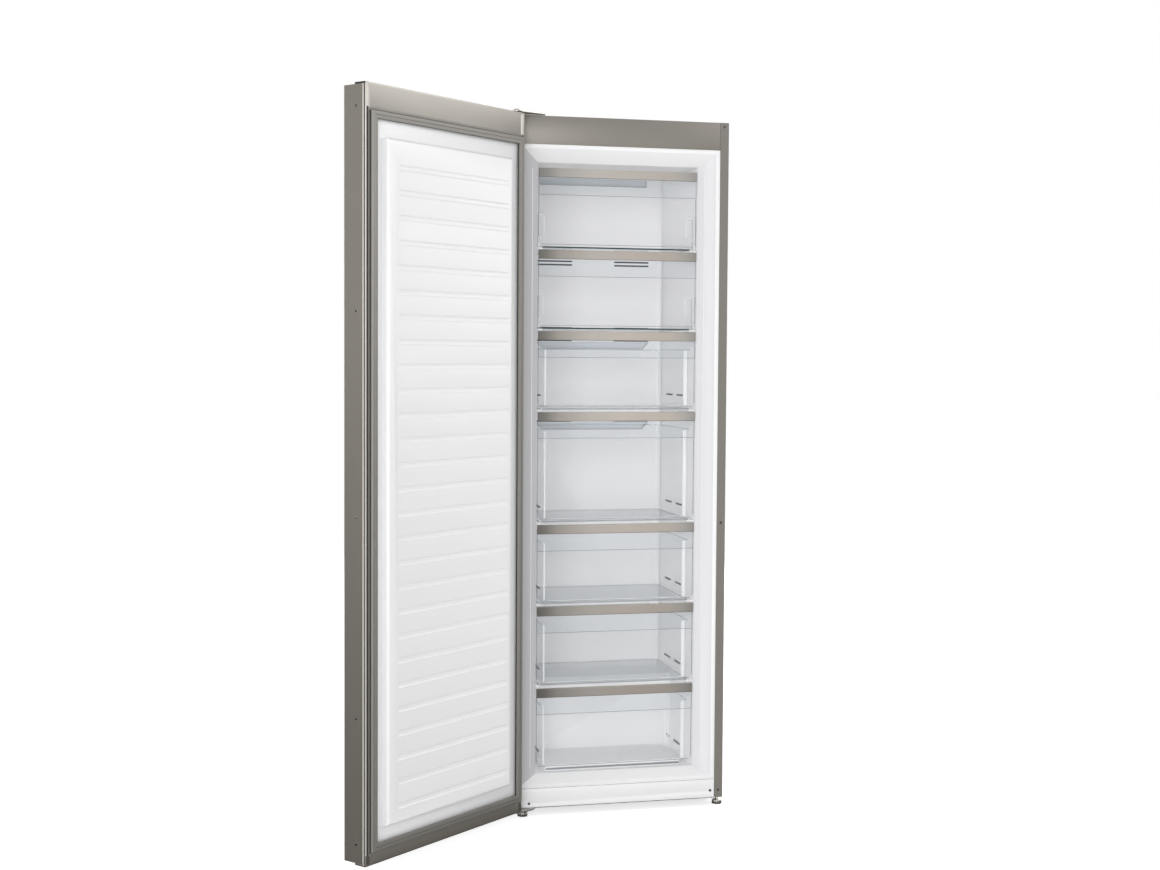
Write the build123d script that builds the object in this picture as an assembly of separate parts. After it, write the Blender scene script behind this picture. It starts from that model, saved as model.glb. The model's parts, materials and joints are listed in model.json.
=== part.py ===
"""Upright freezer: a steel cabinet, one left-hung door, two drop-down flaps and five drawers.

Frame: +Z is up, the front faces -Y and +X is to the right seen from the front. The origin is
on the floor, midway across the cabinet, in the plane of the cabinet's front edge. Lengths are
in millimetres and angles in degrees. Door pieces are drawn with the door shut, and are then
swung about the hinge pins to the open place in which the freezer is shown.
"""

import os
from math import cos, radians, sin

from build123d import *

# ---- Cabinet shell ----
cabinet_width = 595.0
body_height = 1827.0
body_depth = 557.0
foot_height = 23.0  # clear height under the body
sheet = 0.8  # steel of the cabinet and door skins
front_return = 24.5  # width of a side panel's front edge
return_lip = 12.0  # how far the front edges turn back inwards
rear_return = 15.0
edge_radius = 1.5
top_thickness = 2.0
fascia_height = 73.4
plinth_height = 50.5

# ---- Inner liner ----
liner_wall = 2.0
flange_rim = 11.0  # flat band of liner round the mouth
throat_depth = 28.0  # over which the mouth narrows to the cavity
side_wall = 78.0  # liner, foam and skin together, at the cavity's front
cavity_taper = 15.0  # how much narrower the cavity is at its back
cavity_rise = 84.0  # cavity floor above the body's bottom
cavity_drop = 118.0  # cavity roof below the body's top
rear_wall = 87.0
step_depth = 230.0  # how far the machine room pushes into the cavity
step_top = 322.0
rib_thickness = 5.0
rib_reach = 16.5  # how far a shelf rib stands in from the wall
rib_front = 40.0
platform_height = 13.0  # raised floor under the lowest drawer
platform_inset = 31.5  # its sides in from the cavity's
platform_front = 48.0
seam = 0.8  # slits between the liner's flange and the strips above and below it

# ---- Fronts of the compartments, from the top down ----
top_front_drop = 13.6  # top of the first front below the cavity roof
flap_pitch = 214.5
first_drawer_pitch = 215.0
lower_drawer_pitch = 219.5
lowest_front_height = 214.4  # top of the lowest front above the raised floor
front_gap = 3.0  # between a front and the cavity's side
front_plane = 30.0  # depth of the fronts behind the cabinet's front edge
front_wall = 2.5
band_height = 70.0  # upper part of a front, which stands proud
band_step = 2.5
front_lift = 4.0  # from the resting surface to a front's lower edge
trim_height = 24.0
trim_thickness = 3.0
trim_lip = 1.0

# ---- Glass shelves ----
glass_thickness = 4.0
glass_rise = 10.0  # top of the glass above the front below it
glass_gap = 12.5  # between the glass and the cavity's side
glass_front = 45.0
glass_back_gap = 14.0  # from the glass to the evaporator cover
glass_corner = 4.0

# ---- Drawer tubs ----
tub_gap = 19.5  # between a tub and the cavity's side
tub_wall = 2.5
tub_back_gap = 20.0  # from a tub to the evaporator cover
short_tub_gap = 12.0  # from the lowest tub to the machine room's wall
tub_drop = 46.0  # tub's rim below the top of its front
tub_corner = 18.0
tub_foot_radius = 6.0
slide_clearance = 0.3
tub_rim = 4.0
slot_length = 54.0
slot_height = 5.0
slot_starts = (83.0, 183.0)
slot_level = 31.0

# ---- Flap hinges ----
flap_pivot_rise = 12.0  # pivot above the flap's lower edge
flap_pivot_depth = 42.0
flap_pin_radius = 2.5
lug_width = 3.0
lug_inset = 1.0
flap_notch = 1.2  # the flap is narrower where it turns past its brackets
bracket_thickness = 2.6
bracket_height = 84.0
bracket_depth = 32.0
wing_width = 20.0
wing_setback = 14.0
running_clearance = 0.1

# ---- Evaporator cover, cold unit and duct ----
cold_space = 110.0  # from the cover's face to the cavity's back
cover_thickness = 3.0
cover_clearance = 0.3
cover_corner = 12.0
duct_centre = 12.0  # air outlets sit a little to the right
grille_inner = 62.0
grille_outer = 164.0
grille_slot_height = 4.5
grille_slot_pitch = 10.0
grille_rows = 2
low_row_rise = 4.6  # slots just above the second shelf
top_outlet_reach = 156.0
top_outlet_height = 19.0
top_outlet_rise = 10.6  # its upper edge above the top of the first front
outlet_height = 19.5
outlet_reach = 165.0
outlet_slant = 18.0
outlet_drops = (25.0, 41.0)
outlet_slot_rise = 4.5  # slots above a slanted outlet
grille_drop = 10.0
pan_depth = 10.0  # the slanted outlets are pans sunk into the cover
pan_wall = 1.5
duct_gap = 12.0  # air space between the cover and the duct
duct_side_gap = 0.5
duct_bottom = 900.0
duct_wall = 10.0
duct_channel = 120.0
duct_channel_depth = 60.0
duct_roof = 30.0
window_height = 24.0
evaporator_gap = 12.0  # between its end plates and the cavity's sides
evaporator_depth = 80.0
evaporator_bottom = 400.0
evaporator_height = 300.0
evaporator_setback = 15.0  # behind the cover's face
fin_count = 26
fin_thickness = 1.2
tube_rows = 8
tube_radius = 4.0
fan_level = 800.0
fan_setback = 32.0
fan_plate_size = 190.0
fan_radius = 52.0
fan_tip_clearance = 4.0
fan_hub_radius = 18.0
fan_blade_count = 5
fan_blade_pitch = 32.0
fan_shaft_radius = 2.0
shaft_clearance = 0.05
motor_radius = 26.0
motor_length = 32.0
motor_setback = 64.0
motor_foot_half = 38.0
motor_foot_screw = 30.0

# ---- Machine room ----
machine_depth = 257.0
machine_top = 262.0
machine_sheet = 2.5
room_wall = 1.0
compressor_x = 120.0
compressor_setback = 127.0  # its middle in front of the cabinet's back
compressor_radius = 78.0
compressor_bottom = 60.0
compressor_top = 190.0
dome_radius = 34.0
terminal_reach = 34.0  # of the terminal cover, out from the can
terminal_half_width = 28.0
terminal_heights = (38.0, 92.0)  # above the can's bottom
grommet_radius = 10.0
grommet_spread = (80.0, 45.0)
mount_plate = (200.0, 124.0, 3.0)
tray_size = (150.0, 130.0, 34.0)
tray_wall = 2.0
pipe_radius = 4.0
pipe_bend = 20.0
suction_rise = 90.0  # where the tubes leave the can, above its bottom
drier_line_rise = 50.0
suction_reach = 60.0
discharge_reach = 30.0
drier_radius = 10.0
drier_length = 70.0
drier_lift = 20.0
drier_reach = 100.0
drier_offset = 40.0
control_box_size = (140.0, 100.0, 90.0)
control_box_inset = 28.0
control_box_setback = 30.0
lid_drop = 22.0
lid_groove = 2.0
gland_radius = 8.0
gland_bore = 4.0
gland_length = 15.0
coil_radius = 2.5
coil_pitch = 100.0
coil_top_gap = 250.0
coil_inset = 77.5
coil_pocket = 6.0
coil_bottom = 480.0

# ---- Feet and rollers ----
left_foot_inset = 40.5  # in from the cabinet's left side
left_foot_setback = 10.0
right_foot_inset = 8.5
right_foot_setback = 24.0
foot_radius = 13.5
foot_disc = 11.0
foot_lobes = 8
lobe_radius = 3.0
foot_neck = 3.0
foot_stem_radius = 4.0
stem_clearance = 0.05
foot_nut_height = 15.0
foot_nut_radius = 7.0
roller_inset = 57.5
roller_setback = 37.0
roller_radius = 11.0
roller_width = 14.0
roller_axle_radius = 3.0
roller_side_gap = 0.3
roller_cheek = 2.0

# ---- Door ----
door_lift = 1.0  # door's lower end above the body's bottom
door_drop = 0.5  # door's upper end below the body's top
door_thickness = 70.0
seal_gap = 13.0  # from the cabinet's front edge to the door's inner face
skin_side_depth = 59.5
skin_corner = 5.0
cap_step = 4.5  # how far the caps rise past the skin
cap_ridge_depth = 33.0
cap_wall = 3.0
top_strip_height = 56.5
bottom_strip_height = 26.0
edge_trim_width = 15.0
edge_notch = (1.2, 2.9)
door_liner_wall = 2.0
plug_height = 20.0  # how far the inner panel stands into the mouth
plug_hinge_inset = 70.0
plug_free_inset = 57.0
plug_low_gap = 4.0  # plug's ends inside the cavity's
plug_high_gap = 6.0
plug_radius = 8.0
groove_margin = 48.0
groove_pitch = 58.0
groove_height = 14.0
groove_depth = 2.2
groove_free_inset = 35.0
groove_hinge_inset = 14.0
gasket_inset = 5.0
gasket_width = 22.5
gasket_height = 12.2
gasket_base = 3.0
gasket_neck = 3.0
gasket_neck_inset = 4.0
gasket_radius = 2.5
open_angle = 139.0
pin_inset = 10.4  # hinge pins in from the door's side
pin_setback = 16.2  # and behind its inner face
pin_radius = 5.0
pin_clearance = 0.05
bush_radius = 9.0
bush_length = 24.0
boss_wall = 5.0
side_screw_setback = 29.0
side_screw_rises = (50.0, 348.0, 821.0)  # above the door's lower end
side_screw_drops = (524.5, 53.5)  # below its upper end
side_screw_radius = 3.5
side_screw_shank = 1.8
side_screw_length = 12.0
side_screw_proud = 0.6
handle_inset = 62.0
handle_standoff = 44.0
handle_radius = 8.0
handle_length = 480.0
handle_centre = 1010.0
post_radius = 6.0
post_spread = 400.0
display_size = (120.0, 1.5, 36.0)
display_level = 1400.0

# ---- Hinge plates, plugs and screws ----
hinge_plate = 4.0
hinge_pad = 3.0
hinge_plate_reach = 92.0
hinge_plate_back = 45.0
pin_head_radius = 7.0
pin_head_height = 3.0
bottom_bracket = 3.0
bottom_bracket_back = 60.0
washer_height = 0.7
plug_rises = (21.0, 753.0)  # above the body's bottom
plug_drop = 12.0  # the highest plug below its top
plug_disc_radius = 3.5
plug_disc_height = 0.6
plug_inset = 12.5
plinth_screws = ((1, 35.5, 20.0), (-1, 55.9, 11.0))  # side, in from it, above the body's bottom
hinge_screw_radius = 5.0
hinge_screw_spots = ((29.5, 20.0), (57.5, 30.0), (82.5, 20.0))  # in from the left side, and back

# ---- Worked out from the sizes above ----
half_width = cabinet_width / 2
cavity_width = cabinet_width - 2 * side_wall
cavity_back_width = cavity_width - cavity_taper
cavity_back = body_depth - rear_wall
step_front = cavity_back - step_depth
platform_half_width = cavity_width / 2 - platform_inset
front_width = cavity_width - 2 * front_gap
glass_width = cavity_width - 2 * glass_gap
tub_width = cavity_width - 2 * tub_gap
cover_plane = cavity_back - cold_space
glass_back = cover_plane - glass_back_gap
tub_back = cover_plane - tub_back_gap
short_tub_back = step_front - short_tub_gap
evaporator_width = cavity_back_width - 2 * evaporator_gap
evaporator_front = cover_plane + evaporator_setback
fan_plate_front = cover_plane + fan_setback
motor_front = cover_plane + motor_setback
machine_front = body_depth - machine_depth
compressor_y = body_depth - compressor_setback
coil_half_width = half_width - coil_inset
left_foot = (-half_width + left_foot_inset, left_foot_setback)
right_foot = (half_width - right_foot_inset, right_foot_setback)
roller_x = half_width - roller_inset
roller_y = body_depth - roller_setback
body_bottom = foot_height
body_top = foot_height + body_height
return_edge = half_width - front_return
fascia_bottom = body_top - fascia_height
plinth_top = body_bottom + plinth_height
cavity_bottom = body_bottom + cavity_rise
cavity_top = body_top - cavity_drop
floor_level = cavity_bottom + platform_height
flap_count = 2
upper_pitches = [0.0, flap_pitch, flap_pitch, first_drawer_pitch]
top_front_level = cavity_top - top_front_drop
upper_fronts = [top_front_level - sum(upper_pitches[: index + 1]) for index in range(len(upper_pitches))]
lower_fronts = [floor_level + lowest_front_height + rise * lower_drawer_pitch for rise in (2, 1, 0)]
front_levels = upper_fronts + lower_fronts
shelf_levels = [level + glass_rise for level in front_levels[1:]]
rest_levels = shelf_levels + [floor_level]
outlet_tops = [level - drop for level, drop in zip(front_levels[2:4], outlet_drops)]
top_outlet_top = top_front_level + top_outlet_rise
slot_row_levels = [front_levels[1] - grille_drop - row * grille_slot_pitch for row in range(grille_rows)]
slot_row_levels += [shelf_levels[1] + low_row_rise]
slot_row_levels += [top + outlet_slot_rise for top in outlet_tops]
coil_runs = 1 + int((body_top - coil_top_gap - coil_bottom) / coil_pitch)
door_bottom = body_bottom + door_lift
door_top = body_top - door_drop
inner_face = -seal_gap
outer_face = inner_face - door_thickness
skin_back = outer_face + skin_side_depth
skin_bottom = door_bottom + cap_step
skin_top = door_top - cap_step
strip_low = door_bottom + bottom_strip_height
strip_high = door_top - top_strip_height
plug_bottom = cavity_bottom + plug_low_gap
plug_top = cavity_top - plug_high_gap
groove_count = 1 + int((plug_top - plug_bottom - 2 * groove_margin) / groove_pitch)
side_screw_levels = [door_bottom + rise for rise in side_screw_rises]
side_screw_levels += [door_top - drop for drop in side_screw_drops]
plug_levels = [body_bottom + rise for rise in plug_rises] + [body_top - plug_drop]
pin_x = -half_width + pin_inset
pin_y = inner_face - pin_setback


def block(xs, ys, zs):
    """A box between two limits on each axis, in either order."""
    sizes = [abs(pair[1] - pair[0]) for pair in (xs, ys, zs)]
    middles = [(pair[0] + pair[1]) / 2 for pair in (xs, ys, zs)]
    return Pos(*middles) * Box(*sizes)


def rod(start, radius, length, direction=(0, 0, 1)):
    """A round bar from a point along a direction."""
    return extrude(Plane(origin=start, z_dir=direction) * Circle(radius), length)


def prism(points, low, high):
    """An outline in plan, raised from one level to another."""
    outline = make_face(Polyline(*points, close=True))
    return extrude(Pos(0, 0, low) * outline, high - low)


def joined(pieces):
    """All pieces as one shape, where some may stay apart from the others."""
    pieces = list(pieces)
    whole = pieces[0]
    for piece in pieces[1:]:
        whole += piece
    return whole


def upright_edges(solid, x, y):
    """The vertical edges of a solid that stand at one place in plan."""
    return [
        edge
        for edge in solid.edges().filter_by(Axis.Z)
        if abs(edge.center().X - x) < 0.01 and abs(edge.center().Y - y) < 0.01
    ]


def cavity_half_width(depth):
    """Half the cavity's width at a depth behind the front edge."""
    share = (depth - throat_depth) / (cavity_back - throat_depth)
    return (cavity_width + (cavity_back_width - cavity_width) * share) / 2


def tube(points, radius, bend):
    """A round tube along straight runs joined by bends."""
    path = FilletPolyline(*points, radius=bend)
    return sweep(Plane(origin=path @ 0, z_dir=path % 0) * Circle(radius), path)


# ---- Cabinet shell ----


def side_panel(side):
    """One steel side with its front and rear edges turned in."""
    outer = side * half_width
    heights = (body_bottom, body_top)
    edge = side * return_edge
    panel = block((outer, outer - side * sheet), (0, body_depth), heights)
    panel += block((outer, edge), (0, sheet), heights)
    panel += block((edge, edge + side * sheet), (0, return_lip), heights)
    rear = (body_depth - sheet, body_depth)
    panel += block((outer, outer - side * rear_return), rear, heights)
    corners = upright_edges(panel, outer, 0) + upright_edges(panel, outer, body_depth)
    panel = fillet(corners, edge_radius)
    if side > 0:
        for level in plug_levels:
            panel -= rod((half_width - plug_inset, -1, level), plug_disc_radius, 3, (0, 1, 0))
    return panel


def top_panel():
    """The flat top between the side panels."""
    reach = half_width - sheet
    depth = (sheet, body_depth - sheet)
    panel = block((-reach, reach), depth, (body_top - top_thickness, body_top))
    for side in (-1, 1):
        panel -= side_panel(side)
    return panel


def back_panel():
    """The flat steel back above the machine room."""
    reach = half_width - rear_return
    return block((-reach, reach), (body_depth - sheet, body_depth), (machine_top, body_top))


def bottom_panel():
    """The steel floor in front of the machine room, with the right foot's nut."""
    reach = half_width - sheet
    x, y = right_foot
    floor = block((-reach, reach), (sheet, machine_front), (body_bottom, body_bottom + sheet))
    for side in (-1, 1):
        floor -= side_panel(side)
    floor += rod((x, y, body_bottom), foot_nut_radius, foot_nut_height)
    hole = foot_stem_radius + stem_clearance
    return floor - rod((x, y, body_bottom - 1), hole, foot_nut_height + 2)


def top_fascia():
    """The steel strip across the top of the front."""
    width = (-return_edge, return_edge)
    strip = block(width, (0, sheet), (fascia_bottom, body_top))
    strip += block(width, (0, return_lip), (fascia_bottom, fascia_bottom + sheet))
    return strip


def plinth():
    """The white strip across the foot of the front, with its two screw holes."""
    width = (-return_edge, return_edge)
    strip = block(width, (0, sheet), (body_bottom, plinth_top))
    strip += block(width, (0, return_lip), (plinth_top - sheet, plinth_top))
    for side, inset, rise in plinth_screws:
        x = side * (half_width - inset)
        strip -= rod((x, -1, body_bottom + rise), plug_disc_radius, 3, (0, 1, 0))
    return strip


def plug(x, z):
    """A domed plug or screw head that fills a hole in the front edge."""
    head = rod((x, -plug_disc_height, z), plug_disc_radius, plug_disc_height, (0, 1, 0))
    return head + rod((x, 0, z), plug_disc_radius - running_clearance, 2 * sheet, (0, 1, 0))


def cabinet_screws():
    """Edge plugs, plinth screws and the screws of the top hinge."""
    heads = [plug(half_width - plug_inset, level) for level in plug_levels]
    for side, inset, rise in plinth_screws:
        heads.append(plug(side * (half_width - inset), body_bottom + rise))
    top = body_top + hinge_pad + hinge_plate
    for inset, y in hinge_screw_spots:
        heads.append(rod((inset - half_width, y, top), hinge_screw_radius, pin_head_height))
    return joined(heads)


# ---- Inner liner and insulation ----


def mouth_rectangle(half, low, high, depth):
    """An upright rectangle across the mouth at one depth."""
    plane = Plane(origin=(0, depth, (low + high) / 2), x_dir=(1, 0, 0), z_dir=(0, 1, 0))
    return plane * Rectangle(2 * half, high - low)


def liner_space(grow):
    """The hollow inside the liner, grown outwards by a wall."""
    low = cavity_bottom - grow
    high = cavity_top + grow
    front = cavity_half_width(throat_depth) + grow
    back = cavity_half_width(cavity_back) + grow
    rim = return_edge - flange_rim + grow
    throat = loft(
        [
            mouth_rectangle(rim, plinth_top + flange_rim - grow, fascia_bottom - flange_rim + grow, 0),
            mouth_rectangle(front, low, high, throat_depth),
        ],
        ruled=True,
    )
    rear = cavity_back + grow
    plan = [(-front, throat_depth), (front, throat_depth), (back, rear), (-back, rear)]
    space = throat + prism(plan, low, high)
    step_rear = (step_front + grow, rear + 1)
    return space - block((-half_width, half_width), step_rear, (0, step_top - grow))


def inner_liner():
    """The white moulded liner with its flange, shelf ribs and raised floor."""
    space = liner_space(0)
    heights = (plinth_top + seam, fascia_bottom - seam)
    flange = block((-return_edge, return_edge), (0, liner_wall), heights)
    for side in (-1, 1):
        flange -= side_panel(side)
    shell = flange + liner_space(liner_wall) - space
    inside = liner_space(liner_wall / 2)
    ribs = []
    for level in shelf_levels:
        top = level - glass_thickness
        for side in (-1, 1):
            width = (side * (cavity_width / 2 - rib_reach), side * half_width)
            ribs.append(block(width, (rib_front, glass_back), (top - rib_thickness, top)))
    width = (-platform_half_width, platform_half_width)
    depth = (platform_front, step_front + liner_wall)
    ribs.append(block(width, depth, (cavity_bottom - liner_wall, floor_level)))
    return shell + (joined(ribs) & inside)


def insulation_foam():
    """The foam between the liner and the outer skin."""
    reach = half_width - sheet
    heights = (body_bottom + sheet, body_top - top_thickness)
    foam = block((-reach, reach), (sheet, body_depth - sheet), heights)
    foam -= liner_space(liner_wall)
    foam -= block((-reach, reach), (machine_front, body_depth), (0, machine_top))
    pocket_half = coil_half_width + 3 * coil_radius
    pocket_depth = (body_depth - sheet - coil_pocket, body_depth)
    pocket_top = coil_bottom + coil_runs * coil_pitch
    foam -= block((-pocket_half, pocket_half), pocket_depth, (coil_bottom - coil_pitch / 4, pocket_top))
    for piece in (side_panel(-1), side_panel(1), top_fascia(), plinth(), cabinet_screws()):
        foam -= piece
    flange = block((-return_edge, return_edge), (0, liner_wall), (plinth_top, fascia_bottom))
    foam -= flange
    x, y = right_foot
    return foam - rod((x, y, body_bottom), foot_nut_radius, foot_nut_height + 1)


def glass_shelves():
    """The six glass shelves on the liner's ribs."""
    half = glass_width / 2
    shelves = []
    for level in shelf_levels:
        pane = block((-half, half), (glass_front, glass_back), (level - glass_thickness, level))
        corners = upright_edges(pane, half, glass_front) + upright_edges(pane, -half, glass_front)
        shelves.append(fillet(corners, glass_corner))
    return joined(shelves)


# ---- Cold unit behind the back wall ----


def slot_pair(level):
    """Cutters for two long slots, left and right of the duct's middle."""
    heights = (level - grille_slot_height / 2, level + grille_slot_height / 2)
    depth = (cover_plane - 1, cover_plane + cover_thickness + 1)
    cuts = []
    for side in (-1, 1):
        width = (duct_centre + side * grille_inner, duct_centre + side * grille_outer)
        cuts.append(block(width, depth, heights))
    return joined(cuts)


def pan_form(top, height, reach, slant, depth):
    """The form of a pan in the cover, with slanted ends unless the slant is zero."""
    points = [
        (duct_centre - reach, top),
        (duct_centre + reach, top),
        (duct_centre + reach - slant, top - height),
        (duct_centre - reach + slant, top - height),
    ]
    plane = Plane(origin=(0, depth[1], 0), x_dir=(1, 0, 0), z_dir=(0, -1, 0))
    outline = plane * make_face(Polyline(*points, close=True))
    return extrude(outline, depth[1] - depth[0])


def sunk_pan(panel, top, height, reach, slant):
    """The cover with one pan sunk into it."""
    pan_back = cover_plane + cover_thickness + pan_depth
    outer_height = height + 2 * pan_wall
    panel += pan_form(top + pan_wall, outer_height, reach + pan_wall, slant, (cover_plane, pan_back))
    return panel - pan_form(top, height, reach, slant, (cover_plane - 1, pan_back - pan_wall))


def evaporator_cover():
    """The white panel across the back of the cavity with its pans and slots."""
    back = cover_plane + cover_thickness
    half = cavity_half_width(back) - cover_clearance
    low = step_top + cover_clearance
    high = cavity_top - cover_clearance
    panel = block((-half, half), (cover_plane, back), (low, high))
    for side in (-1, 1):
        inner = side * (half - cover_corner)
        fill = block((inner, side * half), (cover_plane - cover_corner, cover_plane), (low, high))
        panel += fill - rod((inner, cover_plane - cover_corner, low), cover_corner, high - low)
    panel = sunk_pan(panel, top_outlet_top, top_outlet_height, top_outlet_reach, 0)
    for top in outlet_tops:
        panel = sunk_pan(panel, top, outlet_height, outlet_reach, outlet_slant)
    for level in slot_row_levels:
        panel -= slot_pair(level)
    return panel


def air_duct():
    """The foam duct that carries cold air up to the outlets, with a window at each of them."""
    half = cavity_back_width / 2 - duct_side_gap
    front = cover_plane + cover_thickness + duct_gap
    inner = front + duct_wall
    duct = block((-half, half), (front, cavity_back), (duct_bottom, cavity_top - cover_clearance))
    channel = (duct_centre - duct_channel / 2, duct_centre + duct_channel / 2)
    duct -= block(channel, (inner, inner + duct_channel_depth), (duct_bottom - 1, cavity_top - duct_roof))
    for level in slot_row_levels[1:]:
        heights = (level - window_height / 2, level + window_height / 2)
        duct -= block(channel, (front - 1, inner + 1), heights)
    return duct


def evaporator():
    """The block of fins on a bank of tubes, hung from the cavity's back wall."""
    half = evaporator_width / 2
    back = evaporator_front + evaporator_depth
    top = evaporator_bottom + evaporator_height
    pieces = []
    spacing = evaporator_width / (fin_count - 1)
    for index in range(fin_count):
        x = -half + index * spacing
        depth = (evaporator_front, back)
        is_end = index in (0, fin_count - 1)
        if is_end:
            depth = (evaporator_front, cavity_back)
        width = (x - fin_thickness / 2, x + fin_thickness / 2)
        pieces.append(block(width, depth, (evaporator_bottom, top)))
    row_pitch = evaporator_height / tube_rows
    for row in range(tube_rows):
        z = evaporator_bottom + (row + 0.5) * row_pitch
        for column in (0.25, 0.75):
            y = evaporator_front + column * evaporator_depth
            pieces.append(rod((-half, y, z), tube_radius, evaporator_width, (1, 0, 0)))
    return joined(pieces)


def fan_housing():
    """The square plate with a round mouth that the fan turns in."""
    half = fan_plate_size / 2
    plate = block((-half, half), (fan_plate_front, fan_plate_front + 3), (fan_level - half, fan_level + half))
    mouth = fan_radius + fan_tip_clearance
    plate += rod((0, fan_plate_front, fan_level), mouth + 3, 24, (0, 1, 0))
    plate -= rod((0, fan_plate_front - 1, fan_level), mouth, 30, (0, 1, 0))
    for x in (-half + 8, half - 8):
        for z in (fan_level - half + 8, fan_level + half - 8):
            plate += rod((x, fan_plate_front, z), 5, cavity_back - fan_plate_front, (0, 1, 0))
    return plate


def fan_motor():
    """The fan's motor on a foot that is fixed to the cavity's back wall."""
    motor = rod((0, motor_front, fan_level), motor_radius, motor_length, (0, 1, 0))
    foot_front = motor_front + motor_length
    foot_reach = (-motor_foot_half, motor_foot_half)
    motor += block(foot_reach, (foot_front, foot_front + 4), (fan_level - 14, fan_level + 14))
    for x in (-motor_foot_screw, motor_foot_screw):
        motor += rod((x, foot_front, fan_level), 5, cavity_back - foot_front, (0, 1, 0))
    bore = fan_shaft_radius + shaft_clearance
    return motor - rod((0, motor_front - 1, fan_level), bore, 21, (0, 1, 0))


def fan_blades():
    """The fan's hub, pitched blades and shaft."""
    hub_front = fan_plate_front + 6
    hub_length = 14
    rotor = rod((0, hub_front, fan_level), fan_hub_radius, hub_length, (0, 1, 0))
    shaft_length = motor_front + 16 - hub_front
    rotor += rod((0, hub_front, fan_level), fan_shaft_radius, shaft_length, (0, 1, 0))
    span = fan_radius - fan_hub_radius + 4
    middle = fan_hub_radius - 4 + span / 2
    for index in range(fan_blade_count):
        turn = index * 360 / fan_blade_count
        blade = Rot(0, 0, fan_blade_pitch) * Box(24, 2, span)
        blade = Rot(0, turn, 0) * Pos(0, 0, middle) * blade
        rotor += Pos(0, hub_front + hub_length / 2, fan_level) * blade
    ring = rod((0, hub_front - 20, fan_level), fan_radius, 60, (0, 1, 0))
    return rotor & ring


def condenser_coil():
    """The flat tube coil between the foam and the steel back."""
    y = body_depth - sheet - coil_radius
    points = []
    for run in range(coil_runs):
        z = coil_bottom + run * coil_pitch
        ends = [(-coil_half_width, y, z), (coil_half_width, y, z)]
        if run % 2:
            ends.reverse()
        points += ends
    return tube(points, coil_radius, coil_pitch / 2 - 2)


# ---- Machine room ----


def machine_room_wall():
    """The bent sheet that walls the machine room off from the foam."""
    reach = half_width - sheet
    front = (machine_front, machine_front + room_wall)
    wall = block((-reach, reach), front, (body_bottom + machine_sheet, machine_top))
    roof = (machine_top - room_wall, machine_top)
    wall += block((-reach, reach), (machine_front, body_depth - sheet), roof)
    for side in (-1, 1):
        wall -= side_panel(side)
    return wall


def machine_base():
    """The steel tray that carries the compressor and the rear rollers."""
    reach = half_width - sheet
    depth = (machine_front, body_depth - sheet)
    tray = block((-reach, reach), depth, (body_bottom, body_bottom + machine_sheet))
    for side in (-1, 1):
        tray -= side_panel(side)
    return tray


def compressor():
    """The domed compressor can on its mounting plate, with its terminal cover."""
    centre = (compressor_x, compressor_y, compressor_bottom)
    can = rod(centre, compressor_radius, compressor_top - compressor_bottom)
    rims = can.edges().filter_by(GeomType.CIRCLE)
    can = fillet(rims, dome_radius)
    seam_level = (compressor_bottom + compressor_top) / 2 + 20
    can += rod((compressor_x, compressor_y, seam_level), compressor_radius + 4, 5)
    length, width, thick = mount_plate
    plate_top = compressor_bottom - 16
    plate = block(
        (compressor_x - length / 2, compressor_x + length / 2),
        (compressor_y - width / 2, compressor_y + width / 2),
        (plate_top - thick, plate_top),
    )
    can += plate + rod((compressor_x, compressor_y, plate_top), 44, 20)
    side = compressor_x + compressor_radius
    cover_x = (side - 6, side + terminal_reach)
    cover_y = (compressor_y - terminal_half_width, compressor_y + terminal_half_width)
    cover_z = [compressor_bottom + rise for rise in terminal_heights]
    return can + block(cover_x, cover_y, cover_z)


def compressor_grommets():
    """The four rubber feet under the compressor's mounting plate."""
    top = compressor_bottom - 16 - mount_plate[2]
    bottom = body_bottom + machine_sheet
    feet = []
    for x in (-grommet_spread[0], grommet_spread[0]):
        for y in (-grommet_spread[1], grommet_spread[1]):
            feet.append(rod((compressor_x + x, compressor_y + y, bottom), grommet_radius, top - bottom))
    return joined(feet)


def drip_tray():
    """The open tray on the compressor where defrost water dries off."""
    length, width, height = tray_size
    xs = (compressor_x - length / 2, compressor_x + length / 2)
    ys = (compressor_y - width / 2, compressor_y + width / 2)
    outer = block(xs, ys, (compressor_top, compressor_top + height))
    inner_x = (xs[0] + tray_wall, xs[1] - tray_wall)
    inner_y = (ys[0] + tray_wall, ys[1] - tray_wall)
    return outer - block(inner_x, inner_y, (compressor_top + tray_wall, compressor_top + height + 1))


def refrigerant_pipes():
    """The tubes from the compressor to the roof, and the drier between them."""
    roof = machine_top - room_wall
    left = compressor_x - compressor_radius
    front = compressor_y - compressor_radius
    rise_x = left - suction_reach
    turn_y = front - discharge_reach
    drier_x = left - drier_reach
    drier_y = compressor_y + drier_offset
    mid = compressor_bottom + suction_rise
    low = compressor_bottom + drier_line_rise
    drier_low = low + drier_lift
    drier_high = drier_low + drier_length
    pipes = tube(
        [(left + 2, compressor_y, mid), (rise_x, compressor_y, mid), (rise_x, compressor_y, roof)],
        pipe_radius,
        pipe_bend,
    )
    pipes += tube(
        [(compressor_x, front + 2, mid), (compressor_x, turn_y, mid), (compressor_x, turn_y, roof)],
        pipe_radius,
        pipe_bend,
    )
    pipes += rod((drier_x, drier_y, drier_low), drier_radius, drier_high - drier_low)
    pipes += rod((drier_x, drier_y, drier_high), pipe_radius / 2, roof - drier_high)
    shell_x = compressor_x - (compressor_radius**2 - (drier_y - compressor_y) ** 2) ** 0.5
    pipes += tube(
        [(drier_x, drier_y, drier_low + 1), (drier_x, drier_y, low), (shell_x + 2, drier_y, low)],
        pipe_radius,
        pipe_bend / 2,
    )
    return pipes - compressor()


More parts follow.
